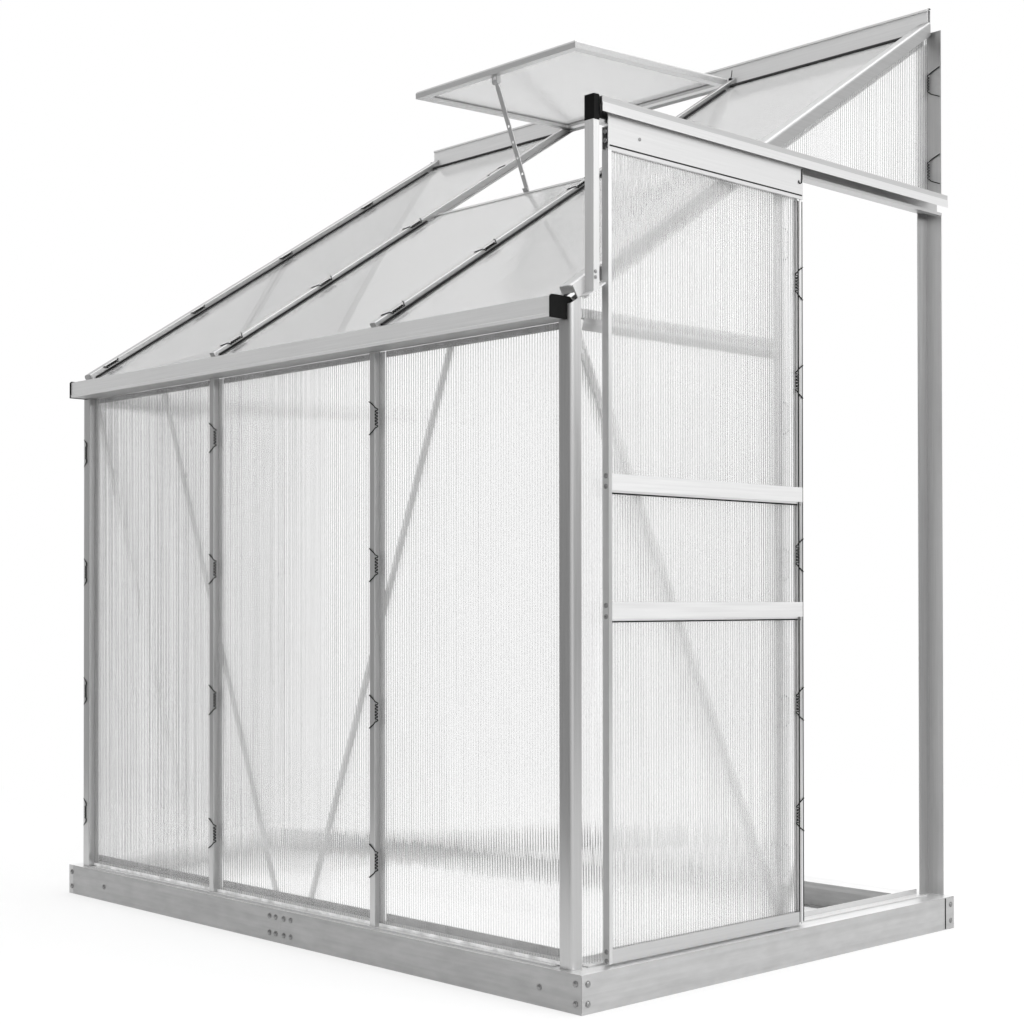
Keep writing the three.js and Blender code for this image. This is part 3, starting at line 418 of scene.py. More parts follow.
def lens_skin(name, haze, rib_haze, tilt, streak, rib_shade_level=VEIL_LEVEL):
    """The outer skin: clear, with a wave from rib to rib that throws what is behind sideways."""
    finish = Finish(name)
    normal, wave = flute_waves(finish, tilt, streak)
    links = {"Normal": normal} if tilt else {}
    clear = finish.node("ShaderNodeBsdfRefraction", links, Color=(*WHITE, 1), IOR=PLASTIC_IOR,
                        Roughness=CLEAR_ROUGHNESS)
    share = finish.ramp(wave, haze, rib_haze, RIB_EDGE, 1.0)
    wall = finish.mix(share, clear, veil(finish, wave, rib_shade_level))
    gloss = finish.node("ShaderNodeBsdfAnisotropic", Roughness=GLOSS_ROUGHNESS)
    fresnel = finish.node("ShaderNodeFresnel", IOR=PLASTIC_IOR)
    return finish.done(let_light_through(finish, finish.mix(fresnel.outputs[0], wall, gloss)))


def clear_wall(name, clear, tint):
    """A wall seen straight through, with some white scattering."""
    finish = Finish(name)
    straight = finish.node("ShaderNodeBsdfTransparent", Color=(tint, tint, tint, 1))
    links = {1: veil(finish).outputs[0], 2: straight.outputs[0]}
    return finish.done(finish.node("ShaderNodeMixShader", links, Fac=clear))


# Finishes
LINES = {"x": (1, 0, 0), "y": (0, 1, 0), "z": (0, 0, 1)}
# Painted light and shade: the x rails face front and back and are darker as painted shade; the y
# rails face the ends and the key lamp and are lighter as painted light; every top is lifted to one
# pale level as painted light
STEEL_SHADED_AND_LIT_LEVELS = {"x": 0.40, "y": 0.52}
STEEL_PAINTED_TOP_LIGHT = 0.9


def drawn(name, axes, level, roughness=0.34, **more):
    """One finish for each direction in which the bars of a kind are drawn."""
    return {axis: drawn_metal(name + "_" + axis, level, spread=0.03, roughness=roughness,
                              grain=260.0, lines=LINES[axis], **more) for axis in axes}


def galvanised(axis):
    """Folded steel with a mottled zinc coat, with painted light on its top faces."""
    level = STEEL_SHADED_AND_LIT_LEVELS[axis]
    return drawn_metal("galvanised_painted_light_and_shade_" + axis, level, spread=0.04, roughness=0.36, grain=90.0,
                       lines=LINES[axis], metallic=0.8, anisotropic=0.3, top=STEEL_PAINTED_TOP_LIGHT - level,
                       cloud_scale=60.0, cloud_share=0.8)


# One mill aluminium in lit and shaded copies: the posts and rafters are darker as painted shade;
# the sills and the door's stiles, rails and track cover are lighter as painted light, the sills
# with painted light on their tops as well
aluminium = drawn("aluminium", "xyz", level=0.60)
shaded_post_aluminium = drawn("shaded_post_aluminium", "z", level=0.52)
shaded_rafter_aluminium = drawn("shaded_rafter_aluminium", "y", level=0.42)
# The gutter's and ridge bar's satin copy has painted shade on its downward faces
satin_aluminium_shaded_under = drawn("satin_aluminium_shaded_under", "x", level=0.66, roughness=0.45, metallic=0.35,
                        under=-0.35)
strut_aluminium = drawn("strut_aluminium", "z", level=0.60, roughness=0.45, metallic=0.5)
lit_sill_aluminium = drawn("lit_sill_aluminium", "xy", level=0.74, metallic=0.7, top=0.2)
lit_stile_aluminium = drawn("lit_stile_aluminium", "z", level=0.68)
lit_door_aluminium = drawn("lit_door_aluminium", "yz", level=0.82)
lit_rail_aluminium = drawn("lit_rail_aluminium", "y", level=0.88, metallic=0.6)
steel = {axis: galvanised(axis) for axis in STEEL_SHADED_AND_LIT_LEVELS}
zinc = drawn_metal("zinc_fastener", level=0.28, spread=0.05, roughness=0.3, grain=500.0,
                   lines=(0, 0, 0))
spring_wire = moulded("spring_wire", level=0.01, roughness=0.5, specular=0.1)
black_plastic = moulded("black_moulding", level=0.004, roughness=0.5, specular=0.1)
rubber = moulded("rubber_seal", level=0.015, roughness=0.65, specular=0.1)
white_tape_and_highlight_pips = moulded("white_tape_and_highlight_pips", level=0.85, roughness=0.5)
shade_and_foam = moulded("shade_and_foam_strip", level=0.20, roughness=0.8)
nylon = moulded("nylon_wheel", level=0.05, roughness=0.4)
sheet_finishes = [
    lens_skin("twin_wall_lens", haze=0.03, rib_haze=0.30, tilt=0.30, streak=0.10, rib_shade_level=0.80),
    lens_skin("twin_wall_face", haze=0.03, rib_haze=0.10, tilt=0, streak=0),
    clear_wall("twin_wall_skin", clear=0.97, tint=1.0),
    clear_wall("twin_wall_rib", clear=0.88, tint=0.99),
]
LENS, FACE, CLEAR, RIBBED = range(4)

DRAWN_PIECES = [
    (aluminium, "x", ["vent_crossbar", "vent_frame"]),
    (aluminium, "y", ["gable_rail_left", "gable_rail_right", "door_track", "door_header",
                      "door_rail_bottom"]),
    (aluminium, "z", ["corner_post_left", "stud_front_left", "stud_front_right",
                      "gable_stud_left", "door_post", "brace_front_left", "brace_front_right",
                      "brace_gable_left", "brace_gable_right", "vent_stay"]),
    (lit_stile_aluminium, "z", ["door_stile_front"]),
    (shaded_post_aluminium, "z", ["corner_post_right", "wall_post_left", "wall_post_right"]),
    (shaded_rafter_aluminium, "y", ["rafter_gable_left", "rafter_gable_right", "rafter_mid_left",
                             "rafter_mid_right"]),
    (satin_aluminium_shaded_under, "x", ["gutter", "ridge_bar"]),
    (strut_aluminium, "z", ["track_strut"]),
    (lit_sill_aluminium, "x", ["sill_front"]),
    (lit_sill_aluminium, "y", ["sill_right", "sill_left"]),
    (lit_door_aluminium, "y", ["door_rail_top"]),
    (lit_door_aluminium, "z", ["door_stile_rear"]),
    (lit_rail_aluminium, "y", ["door_rail_lower", "door_rail_upper"]),
    (steel, "x", ["base_rail_front_left", "base_rail_front_right", "base_rail_rear",
                  "base_splice_front"]),
    (steel, "y", ["base_rail_left", "base_rail_right"]),
]
MOULDED_PIECES = [
    (black_plastic, ["gutter_cap_left", "gutter_cap_right", "track_end_cap"]),
    (nylon, ["door_roller_front", "door_roller_rear"]),
]


def dress(name, material):
    mesh = nodes[name].data
    mesh.materials.clear()
    mesh.materials.append(material)


def dress_frame():
    for finishes, axis, names in DRAWN_PIECES:
        for name in names:
            dress(name, finishes[axis])
    for material, names in MOULDED_PIECES:
        for name in names:
            dress(name, material)


# Twin-wall sheets
def sheet_directions(node, corners, across):
    """The sheet's thickness towards the outside, and its flutes up or back along the sheet."""
    thick = max(nodes[node].data.polygons, key=lambda face: face.area).normal.copy()
    middle = sum(corners, Vector()) / len(corners)
    outside = Vector((middle.x, middle.y, 0)) if abs(thick.z) < UPRIGHT else Z
    if thick.dot(outside) < 0:
        thick.negate()
    flutes = thick.cross(across).normalized()
    if flutes.z + flutes.y < 0:
        flutes.negate()
    return thick, flutes


def flute_ends(corners, across, flutes, side):
    """The foot and the head of the flutes at one side of the sheet."""
    ends = [corner.dot(flutes) for corner in corners if abs(corner.dot(across) - side) < TOUCH]
    return min(ends), max(ends)


def sheet_faces(foot, head, cover):
    """Gives cover each face of the skins and ribs, from the vertices at the flutes' two ends."""
    last = len(foot) - 1

    def solid(i, j):
        return 0 <= i < last and 0 <= j < LAYERS and (j != RIB_LAYER or i % 2 == 0)

    def wall(i, j, k, m, index):
        cover((foot[i][j], foot[k][m], head[k][m], head[i][j]), index)

    for i in range(last):
        for j in range(LAYERS):
            if not solid(i, j):
                continue
            for end in (foot, head):
                cover((end[i][j], end[i + 1][j], end[i + 1][j + 1], end[i][j + 1]), RIBBED)
            if not solid(i, j - 1):
                wall(i, j, i + 1, j, CLEAR if j == 0 else FACE)
            if not solid(i, j + 1):
                wall(i, j + 1, i + 1, j + 1, LENS if j == LAYERS - 1 else CLEAR)
            if not solid(i - 1, j):
                wall(i, j, i, j + 1, RIBBED)
            if not solid(i + 1, j):
                wall(i + 1, j, i + 1, j + 1, RIBBED)


def twin_wall(node, across, body="frame"):
    """Stands for a sheet's node: two skins joined by ribs, open at both ends of the flutes."""
    corners = [vertex.co.copy() for vertex in nodes[node].data.vertices]
    thick, flutes = sheet_directions(node, corners, across)
    left = min(corner.dot(across) for corner in corners)
    right = max(corner.dot(across) for corner in corners)
    face = max(corner.dot(thick) for corner in corners)
    back = min(corner.dot(thick) for corner in corners)
    cells = round((right - left - RIB) / WALL_PITCH)
    pitch = (right - left - RIB) / cells
    columns = []
    for k in range(cells + 1):
        columns += [left + k * pitch, left + k * pitch + RIB]
    rows = [back, back + SKIN, face - SKIN, face]
    work = bmesh.new()
    flute_map = work.loops.layers.uv.new("flutes")
    ends = []
    for start, stop in zip(flute_ends(corners, across, flutes, left),
                           flute_ends(corners, across, flutes, right)):
        ends.append([])
        for u in columns:
            end = start + (stop - start) * ((u - left) / (right - left))
            ends[-1].append([work.verts.new(across * u + thick * w + flutes * end) for w in rows])

    def cover(quad, index):
        made = work.faces.new(quad)
        made.material_index = index
        for loop in made.loops:
            place = loop.vert.co
            share = (place.dot(across) - left - RIB / 2) / pitch
            loop[flute_map].uv = (share, place.dot(flutes) / pitch)

    sheet_faces(*ends, cover)
    piece = add_piece("twin_" + node, work, sheet_finishes, body, SHEET_SHARP)
    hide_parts(node)


def sheets():
    for node in ("front_sheet_left", "front_sheet_middle", "front_sheet_right",
                 "roof_sheet_left", "roof_sheet_middle", "roof_sheet_right"):
        twin_wall(node, X)
    for node in ("gable_sheet_left_lower", "gable_sheet_left_upper", "gable_sheet_left_rear",
                 "gable_sheet_right_lower", "gable_sheet_right_upper", "gable_sheet_over_door"):
        twin_wall(node, Y)
    twin_wall("door_sheet", Y, "door")
    twin_wall("vent_sheet", X, "vent")


# Bolts, screws and brackets
def bolt(work, place, outward, grip, head=BOLT_HEAD):
    """A domed bolt head with its washer, shank and, behind the grip, a hexagon nut."""
    rise = BOLT_RISE * head / BOLT_HEAD
    washer = head * WASHER_SHARE
    profile = [(0, 0), (washer, 0), (washer, WASHER_HEIGHT), (head, WASHER_HEIGHT)]
    profile += [(head * wide, rise * high) for wide, high in HEAD_CURVE]
    lathe(work, profile, place, outward)
    if grip:
        tip = NUT_HEIGHT * SHANK_SHARE
        nut = [(0, 0), (NUT_RADIUS, 0), (NUT_RADIUS, NUT_HEIGHT), (BOLT_SHANK, NUT_HEIGHT),
               (BOLT_SHANK, tip), (0, tip)]
        lathe(work, nut, place - outward * grip, -outward, HEXAGON)


BASE_X = 0.960
BASE_FRONT = -0.62275
BASE_BACK = 0.65325
BASE_HEIGHT = 0.076
BASE_BOLT_LOW = 0.0195
BASE_BOLT_HIGH = 0.0575
BASE_BOLT_SINGLE = 0.036
CORNER_BOLT = 0.0168
TAB_BOLT = CORNER_BOLT * 0.85
SPLICE_BOLTS = (-0.0435, -0.0195, 0.0115, 0.038)
SPLICE_GAP = 0.0006
SINGLE_BOLTS = (-0.781, 0.845)
BRACKET_LEG = 0.034
BRACKET_GAP = 0.0002
BRACKET_INSET = 0.002


def base_bolts():
    levels = (BASE_BOLT_LOW, BASE_BOLT_HIGH)
    work = bmesh.new()
    for z in levels:
        for x in SPLICE_BOLTS:
            bolt(work, Vector((x, BASE_FRONT, z)), -Y, 2 * STEEL + SPLICE_GAP)
    for x in SINGLE_BOLTS:
        bolt(work, Vector((x, BASE_FRONT, BASE_BOLT_SINGLE)), -Y, STEEL)
    add_piece("base_front_bolts", work, [zinc])
    work = bmesh.new()
    for z in levels:
        bolt(work, Vector((BASE_X - CORNER_BOLT, BASE_FRONT, z)), -Y, 2 * STEEL)
        bolt(work, Vector((BASE_X, BASE_FRONT + CORNER_BOLT, z)), X, 2 * STEEL)
        bolt(work, Vector((-BASE_X + TAB_BOLT, BASE_FRONT, z)), -Y, 2 * STEEL)
        bolt(work, Vector((BASE_X, BASE_BACK - TAB_BOLT, z)), X, 2 * STEEL)
        bolt(work, Vector((-BASE_X + CORNER_BOLT, BASE_BACK, z)), Y, 2 * STEEL)
        bolt(work, Vector((-BASE_X, BASE_BACK - CORNER_BOLT, z)), -X, 2 * STEEL)
    add_piece("base_corner_bolts", work, [zinc])


def base_brackets():
    """Folded angles behind the two corners whose rails meet in a mitre."""
    gap = STEEL + BRACKET_GAP
    outline = [(0, 0), (BRACKET_LEG, 0), (BRACKET_LEG, STEEL), (STEEL, STEEL),
               (STEEL, BRACKET_LEG), (0, BRACKET_LEG)]
    for name, x, y, to_x, to_y in (("base_bracket_front", BASE_X, BASE_FRONT, -X, Y),
                                   ("base_bracket_rear", -BASE_X, BASE_BACK, X, -Y)):
        work = bmesh.new()
        start = Vector((x, y, STEEL + BRACKET_INSET)) + to_x * gap + to_y * gap
        prism(work, outline, start, to_x, to_y, Z * (BASE_HEIGHT - 2 * STEEL - 2 * BRACKET_INSET))
        add_piece(name, work, [steel["x"]])


# The door's fasteners: screws are given as (depth behind the face, y, z)
DOOR_FRONT = -0.52535
DOOR_FACE = 0.940
STILE_MIDDLE = 0.9323
STILE_BOLTS = (0.085, 0.103, 0.752, 0.774, 1.005, 1.0255, 1.678, 1.696)
STILE_BOLT_HEAD = 0.0042
DOOR_SCREWS = ((0, -0.435, 1.695), (0.0015, 0.0775, 1.7356))
DOOR_SCREW_HEAD = 0.003


def door_fasteners():
    work = bmesh.new()
    for z in STILE_BOLTS:
        bolt(work, Vector((STILE_MIDDLE, DOOR_FRONT, z)), -Y, 0, STILE_BOLT_HEAD)
    add_piece("door_stile_bolts", work, [zinc], "door")
    work = bmesh.new()
    for depth, y, z in DOOR_SCREWS:
        bolt(work, Vector((DOOR_FACE - depth, y, z)), X, 0, DOOR_SCREW_HEAD)
    add_piece("door_screws", work, [zinc], "door")


STRUT_FACE = 0.9433
STRUT_FRONT = -0.57005
STRUT_BOLTS = (1.4055, 1.4165)
STRUT_BOLT_BACK = 0.0045
STRUT_BOLT_HEAD = 0.0032


def strut_bolts():
    work = bmesh.new()
    for z in STRUT_BOLTS:
        place = Vector((STRUT_FACE, STRUT_FRONT + STRUT_BOLT_BACK, z))
        bolt(work, place, X, 0, STRUT_BOLT_HEAD)
    add_piece("strut_bolts", work, [zinc])


# Glazing clips
ARM_INSET = 0.001
ARM_DROP = 0.0005
CREST_SIDE = 0.0006
CREST_RISE = 0.0010
FOOT_SIDE = 0.0050
FOOT_DROP = 0.0080


def clip_bends(far, near, crest, foot):
    """One clip's bends as (along, across, out) from its middle: two arms and waves between."""
    start = -CLIP_LENGTH / 2
    hold = start + CLIP_ARM
    arm = [(start, *far), (hold, *near), (hold + CLIP_HOLD, *near)]
    turns = 2 * CLIP_WAVES
    waves = []
    for k in range(turns + 1):
        waves.append((CLIP_WAVE_HALF * (2 * k / turns - 1), *(crest if k % 2 else foot)))
    return arm + waves + [(-along, across, out) for along, across, out in reversed(arm)]


def clip(work, place, along, across, out, far, near, crest, foot):
    """A clip with (across, out) for its arms' ends and feet and its waves' crests and feet."""
    bends = clip_bends(far, near, crest, foot)
    points = [place + along * a + across * b + out * c for a, b, c in bends]
    tube(work, cut_corners(points), CLIP_WIRE)


def bar_clip(work, place, along, across, out, rise=RIDGE_RISE):
    """A clip with its arms over a glazing bar's ridge and its waves down the ridge's side."""
    top = rise + CLIP_WIRE
    side = RIDGE_HALF + CLIP_WIRE
    clip(work, place, along, across, out, (-RIDGE_HALF + ARM_INSET, top), (side, top - ARM_DROP),
         (RIDGE_HALF + CREST_SIDE, top + CREST_RISE), (side + FOOT_SIDE, rise - FOOT_DROP))


CLIP_LEVELS = (0.220, 0.543, 0.861, 1.180)
GABLE_CLIP_LEVELS = (0.220, 0.543, 0.861, 1.180, 1.560)
WALL_CLIP_LEVELS = (0.543, 1.180, 1.823, 2.034)
DOORWAY_TOP = 1.77
FRONT_PLANE = -0.58705
SIDE_PLANE = 0.8973
STUD_X = 0.310
GABLE_BAR_Y = 0.05525
WALL_FLANGE_Y = 0.64325
WALL_CLIP_END = (0.0014, 0.038)
WALL_CLIP_REST = (0.0014, 0.012)
WALL_CLIP_FOOT = (0.008, SHEET_FACE + CLIP_WIRE)
CORNER_MIDDLE = 0.9015
CORNER_CLIP_TOP = CORNER_RISE + CLIP_WIRE
CORNER_CLIP_END = (-0.0105, CORNER_CLIP_TOP - 0.002)
CORNER_CLIP_REST = (0.004, CORNER_CLIP_TOP)
CORNER_CLIP_CREST = (-0.004, CORNER_CLIP_TOP)
CORNER_CLIP_FOOT = (0.006, CORNER_CLIP_TOP)


def side_clips(side, name):
    """The clips of one half of the house: on its stud, its gable bar and its wall post."""
    work = bmesh.new()
    for z in CLIP_LEVELS:
        bar_clip(work, Vector((side * STUD_X, FRONT_PLANE, z)), Z, X, -Y)
    add_piece("clips_stud_" + name, work, [spring_wire])
    work = bmesh.new()
    for z in GABLE_CLIP_LEVELS:
        place = Vector((side * SIDE_PLANE, GABLE_BAR_Y, z))
        bar_clip(work, place, Z, Y, X * side, RIDGE_RISE - WALL)
    add_piece("clips_gable_bar_" + name, work, [spring_wire])
    work = bmesh.new()
    for z in WALL_CLIP_LEVELS:
        if side < 0 or z > DOORWAY_TOP:
            place = Vector((side * SIDE_PLANE, WALL_FLANGE_Y, z))
            clip(work, place, Z, -Y, X * side, WALL_CLIP_END, WALL_CLIP_REST, WALL_CLIP_REST,
                 WALL_CLIP_FOOT)
    add_piece("clips_wall_post_" + name, work, [spring_wire])


def glazing_clips():
    for side, name in ((-1, "left"), (1, "right")):
        side_clips(side, name)
    work = bmesh.new()
    for z in CLIP_LEVELS:
        place = Vector((-CORNER_MIDDLE, FRONT_PLANE, z))
        clip(work, place, Z, X, -Y, CORNER_CLIP_END, CORNER_CLIP_REST, CORNER_CLIP_CREST,
             CORNER_CLIP_FOOT)
    add_piece("clips_corner_left", work, [spring_wire])


ROOF_CLIP_PLACES = (0.072, 0.400, 0.760, 1.120)
GABLE_RAFTER_X = 0.893
RAFTER_XS = (-GABLE_RAFTER_X, -STUD_X, STUD_X, GABLE_RAFTER_X)


def roof_clips():
    """Clips up each rafter; beside the vent, the left middle rafter has them on its far side."""
    for name, x in zip(RAFTERS, RAFTER_XS):
        work = bmesh.new()
        for up in ROOF_CLIP_PLACES:
            beside_vent = name == "mid_left" and up > VENT_EDGE
            across = -X if name == "gable_right" or beside_vent else X
            bar_clip(work, ROOF_FOOT + X * x + UP_ROOF * up, UP_ROOF, across, OUT_ROOF)
        add_piece("clips_rafter_" + name, work, [spring_wire])


DOOR_CLIP_LEVELS = (0.317, 0.558, 0.882, 1.261, 1.476)
DOOR_CLIP_X = 0.9291
DOOR_CLIP_Y = 0.0838
DOOR_CLIP_TOP = 0.0092 + CLIP_WIRE
DOOR_CLIP_END = (-0.0097, DOOR_CLIP_TOP)
DOOR_CLIP_REST = (0.0085, DOOR_CLIP_TOP)
DOOR_CLIP_CREST = (-0.0005, DOOR_CLIP_TOP)
DOOR_CLIP_FOOT = (0.0135, 0.0045 + CLIP_WIRE)


def door_clips():
    work = bmesh.new()
    for z in DOOR_CLIP_LEVELS:
        place = Vector((DOOR_CLIP_X, DOOR_CLIP_Y, z))
        clip(work, place, Z, -Y, X, DOOR_CLIP_END, DOOR_CLIP_REST, DOOR_CLIP_CREST, DOOR_CLIP_FOOT)
    add_piece("clips_door_stile", work, [spring_wire], "door")


# Seals and rafter ends
SEAL_START = 0.012
SEAL_END = 1.40
SEAL_BEAD = [(0, 0), (0.0055, 0), (0.0055, 0.0015), (0.0035, 0.004), (0, 0.004)]


def rafter_seals():
    """A rubber bead on the sheet along both sides of each rafter, up to the vent if beside it."""
    for name in RAFTERS:
        low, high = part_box("rafter_" + name)
        middle = (low.x + high.x) / 2
        work = bmesh.new()
        for side in (-1, 1):
            edge = X * (middle + side * (RIDGE_HALF + PLATE_GAP))
            start = ROOF_FOOT + edge + OUT_ROOF * SHEET_FACE + UP_ROOF * SEAL_START
            beside_vent = name.startswith("mid") and side * middle < 0
            end = VENT_EDGE if beside_vent else SEAL_END
            prism(work, SEAL_BEAD, start, X * side, OUT_ROOF, UP_ROOF * (end - SEAL_START))
        add_piece("seal_rafter_" + name, work, [rubber])


END_LOW = SHEET_FACE + 0.0002
END_HALF = RIDGE_HALF + PLATE_GAP
END_TOP = RIDGE_RISE + 0.0003
END_CUT = 0.002
GABLE_END_WIDTH = 0.0325
GABLE_END_TOP = CORNER_RISE - 0.0004
END_START = 0.0016
END_THICK = 0.0014
BAR_END = [(-END_HALF, END_LOW), (END_HALF, END_LOW), (END_HALF, RIDGE_RISE),
           (END_HALF - END_CUT, END_TOP), (END_CUT - END_HALF, END_TOP), (-END_HALF, RIDGE_RISE)]
GABLE_END = [(-GABLE_END_WIDTH, END_LOW), (-0.0004, END_LOW), (-0.0004, GABLE_END_TOP - 0.008),
             (-0.0025, GABLE_END_TOP - 0.003), (-0.007, GABLE_END_TOP),
             (-GABLE_END_WIDTH, GABLE_END_TOP)]


def rafter_ends():
    """Thin plates that close the rafters' lower ends."""
    for name in RAFTERS:
        low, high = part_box("rafter_" + name)
        if name == "gable_left":
            outline, place, across = GABLE_END, low.x, -X
        elif name == "gable_right":
            outline, place, across = GABLE_END, high.x, X
        else:
            outline, place, across = BAR_END, (low.x + high.x) / 2, X
        start = ROOF_FOOT + X * place - UP_ROOF * END_START
        work = bmesh.new()
        prism(work, outline, start, across, OUT_ROOF, UP_ROOF * END_THICK)
        add_piece("rafter_end_" + name, work, [shaded_rafter_aluminium["y"]])


RIDGE_SEAL_WIDTH = 0.012
RIDGE_SEAL_RISE = 0.005
RIDGE_SEAL_GAP = 0.002
RIDGE_SEAL_START = 0.3195
RIDGE_SEAL_END = 0.884
RIDGE_SEAL_SLANT = (0.4, 0.6)
WALL_SEAL = 0.005
WALL_SEAL_RISE = WALL_SEAL * 0.8


def ridge_seals():
    """Rubber between the roof sheets and the ridge bar, and between the bar and the wall."""
    low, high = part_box("ridge_bar")
    up = (low.y - ROOF_FOOT.y) / UP_ROOF.y - RIDGE_SEAL_WIDTH - RIDGE_SEAL_GAP
    w, h = RIDGE_SEAL_WIDTH, RIDGE_SEAL_RISE
    slant_in, slant_up = RIDGE_SEAL_SLANT
    outline = [(0, 0), (w, 0), (w, h), (w * slant_in, h), (0, h * slant_up)]
    work = bmesh.new()
    for side in (-1, 1):
        start = ROOF_FOOT + X * side * RIDGE_SEAL_START + UP_ROOF * up + OUT_ROOF * SHEET_FACE
        along = X * side * (RIDGE_SEAL_END - RIDGE_SEAL_START)
        prism(work, outline, start, UP_ROOF, OUT_ROOF, along)
    strip(work, (low.x, high.y - WALL_SEAL, high.z), (high.x, high.y, high.z + WALL_SEAL_RISE), X)
    add_piece("seals_ridge", work, [rubber])


FRONT_SHEETS = ("front_sheet_left", "front_sheet_middle", "front_sheet_right")
EAVES_SHADE_STRIP = (1.311, 1.3248)
FOOT_STRIP = (0.0908, 0.108)
STRIP_GAP = 0.0006
STRIP_BACK = 0.0036
FLANGE = 0.0185
FOOT_BEAD_LOW = 0.0783
FOOT_BEAD_HIGH = 0.0855
BEAD_THICK = 0.0012
HIGHLIGHT_PIP = 0.0014


def front_sheet_ends():
    """Foam strips behind each front sheet's foot, and a dark strip behind its top that is painted
    shade under the gutter; and the white bead along its foot, with white pips on it that are
    painted highlights.
    """
    for node in FRONT_SHEETS:
        low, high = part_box(node)
        bay = node.removeprefix("front_sheet_")
        work = bmesh.new()
        # The strip at the top is painted shade under the gutter, seen through the sheet
        for bottom, top in (EAVES_SHADE_STRIP, FOOT_STRIP):
            strip(work, (low.x + FLANGE, high.y + STRIP_GAP, bottom),
                  (high.x - FLANGE, high.y + STRIP_BACK, top), X)
        add_piece("shade_and_foam_strips_" + bay, work, [shade_and_foam])
        work = bmesh.new()
        front = low.y - TOUCH - BEAD_THICK
        strip(work, (low.x, front, FOOT_BEAD_LOW), (high.x, front + BEAD_THICK, FOOT_BEAD_HIGH), X)
        # White pips at each flute on the bead's top edge are painted highlights
        for k in range(1, int((high.x - low.x) / WALL_PITCH)):
            place = Vector((low.x + k * WALL_PITCH, front, FOOT_BEAD_HIGH - HIGHLIGHT_PIP))
            lathe(work, [(0, -TOUCH), (HIGHLIGHT_PIP, 0), (0, HIGHLIGHT_PIP)], place, -Y, HEXAGON)
        add_piece("foot_bead_and_highlight_pips_" + bay, work, [white_tape_and_highlight_pips])


# The door's beads: (low, high) across each one, from the edge it follows
BEAD_RISE = 0.0008
BEAD_ENDS = 0.004
FASCIA_BEAD = (0.007, 0.010)
RAIL_BEAD = (-0.0034, -0.0004)
RAIL_BEAD_RISE = 0.003
STILE_SHADE_BEAD = (0.0006, 0.0050)
STILE_BEAD_REAR = -0.0024


def door_seals_and_shade():
    """Dark beads in the top rail's face, under each middle rail and along the rear stile; the one
    along the stile's edge beside the sheet is painted shade where the sheet meets the stile.
    """
    work = bmesh.new()
    low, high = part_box("door_rail_top")
    bottom, top = FASCIA_BEAD
    strip(work, (high.x, low.y + BEAD_ENDS, low.z + bottom),
          (high.x + BEAD_RISE, high.y - BEAD_ENDS, low.z + top), Y)
    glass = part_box("door_sheet")[1].x + TOUCH
    bottom, top = RAIL_BEAD
    for rail in ("door_rail_lower", "door_rail_upper"):
        low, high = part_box(rail)
        strip(work, (glass, low.y, low.z + bottom),
              (glass + RAIL_BEAD_RISE, high.y, low.z + top), Y)
    low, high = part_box("door_stile_rear")
    # The bead along the stile's edge beside the sheet is painted shade
    shade_start, shade_end = STILE_SHADE_BEAD
    for start, end in ((low.y + shade_start, low.y + shade_end),
                       (high.y + STILE_BEAD_REAR, high.y)):
        strip(work, (high.x, start, low.z + BEAD_ENDS),
              (high.x + BEAD_RISE, end, high.z - BEAD_ENDS), Z)
    add_piece("door_seals_and_shade", work, [rubber], "door")


TRACK_COVER_LOW = 1.7275
TRACK_COVER_HIGH = 1.7455
TRACK_COVER_GAP = 0.0002
TRACK_COVER_FACE = 0.0013


def track_cover():
    """The strip along the track's outer face, in front of the rollers."""
    low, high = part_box("door_track")
    work = bmesh.new()
    strip(work, (high.x + TRACK_COVER_GAP, low.y, TRACK_COVER_LOW),
          (high.x + TRACK_COVER_FACE, high.y, TRACK_COVER_HIGH), Y)
    add_piece("track_cover", work, [lit_door_aluminium["y"]])


SEAM_SHADE = 0.004
SEAM_SHADE_THICK = 0.0004
SEAM_SHADE_CHAMFER = 0.0001
PLATE = 0.0008
PLATE_CHAMFER = 0.0002


def base_end_plate():
    """The plate round the rear corner of the right base rail, and beside it a dark strip of rubber
    that is painted shade in the seam.
    """
    edge = BASE_BACK - BRACKET_LEG
    top = BASE_HEIGHT - STEEL
    work = bmesh.new()
    strip(work, (BASE_X, edge, STEEL), (BASE_X + PLATE, BASE_BACK, top), Z, PLATE_CHAMFER)
    add_piece("base_end_plate", work, [steel["y"]])
    # A dark strip as painted shade in the seam beside the plate
    work = bmesh.new()
    strip(work, (BASE_X, edge - SEAM_SHADE, STEEL), (BASE_X + SEAM_SHADE_THICK, edge, top), Z, SEAM_SHADE_CHAMFER)
    add_piece("base_end_seam_shade", work, [rubber])


# Plugs and wire hooks: bends and places are measured from the corner that each one follows
HINGE_PLUG = Vector((0.001, -0.004, -0.004))
HINGE_PLUG_PROFILE = [(0, 0), (0.0038, 0), (0.0042, 0.001), (0.0042, 0.008), (0.0030, 0.010),
                      (0, 0.010)]
BAR_PLUG = Vector((-0.006, 0.002, 0.006))
BAR_PLUG_OUTLINE = [(0, 0), (0.012, 0), (0.014, 0.002), (0.014, 0.010), (0.012, 0.012),
                    (0, 0.012)]
BAR_PLUG_DEPTH = 0.0058
HINGE_HOOK_GAP = 0.0015
HINGE_HOOK_WIRE = 0.0012
HINGE_HOOK_BENDS = [(0.004, -0.006), (0.006, 0.000), (0.010, -0.004), (0.013, 0.004),
                    (0.015, 0.018)]
DOOR_HOOK_WIRE = 0.0011
DOOR_HOOK_FACE = DOOR_FACE + 0.0012
DOOR_HOOK_BENDS = [(0.0905, 1.727), (0.0905, 1.700), (0.0870, 1.694), (0.0800, 1.694),
                   (0.0790, 1.700)]


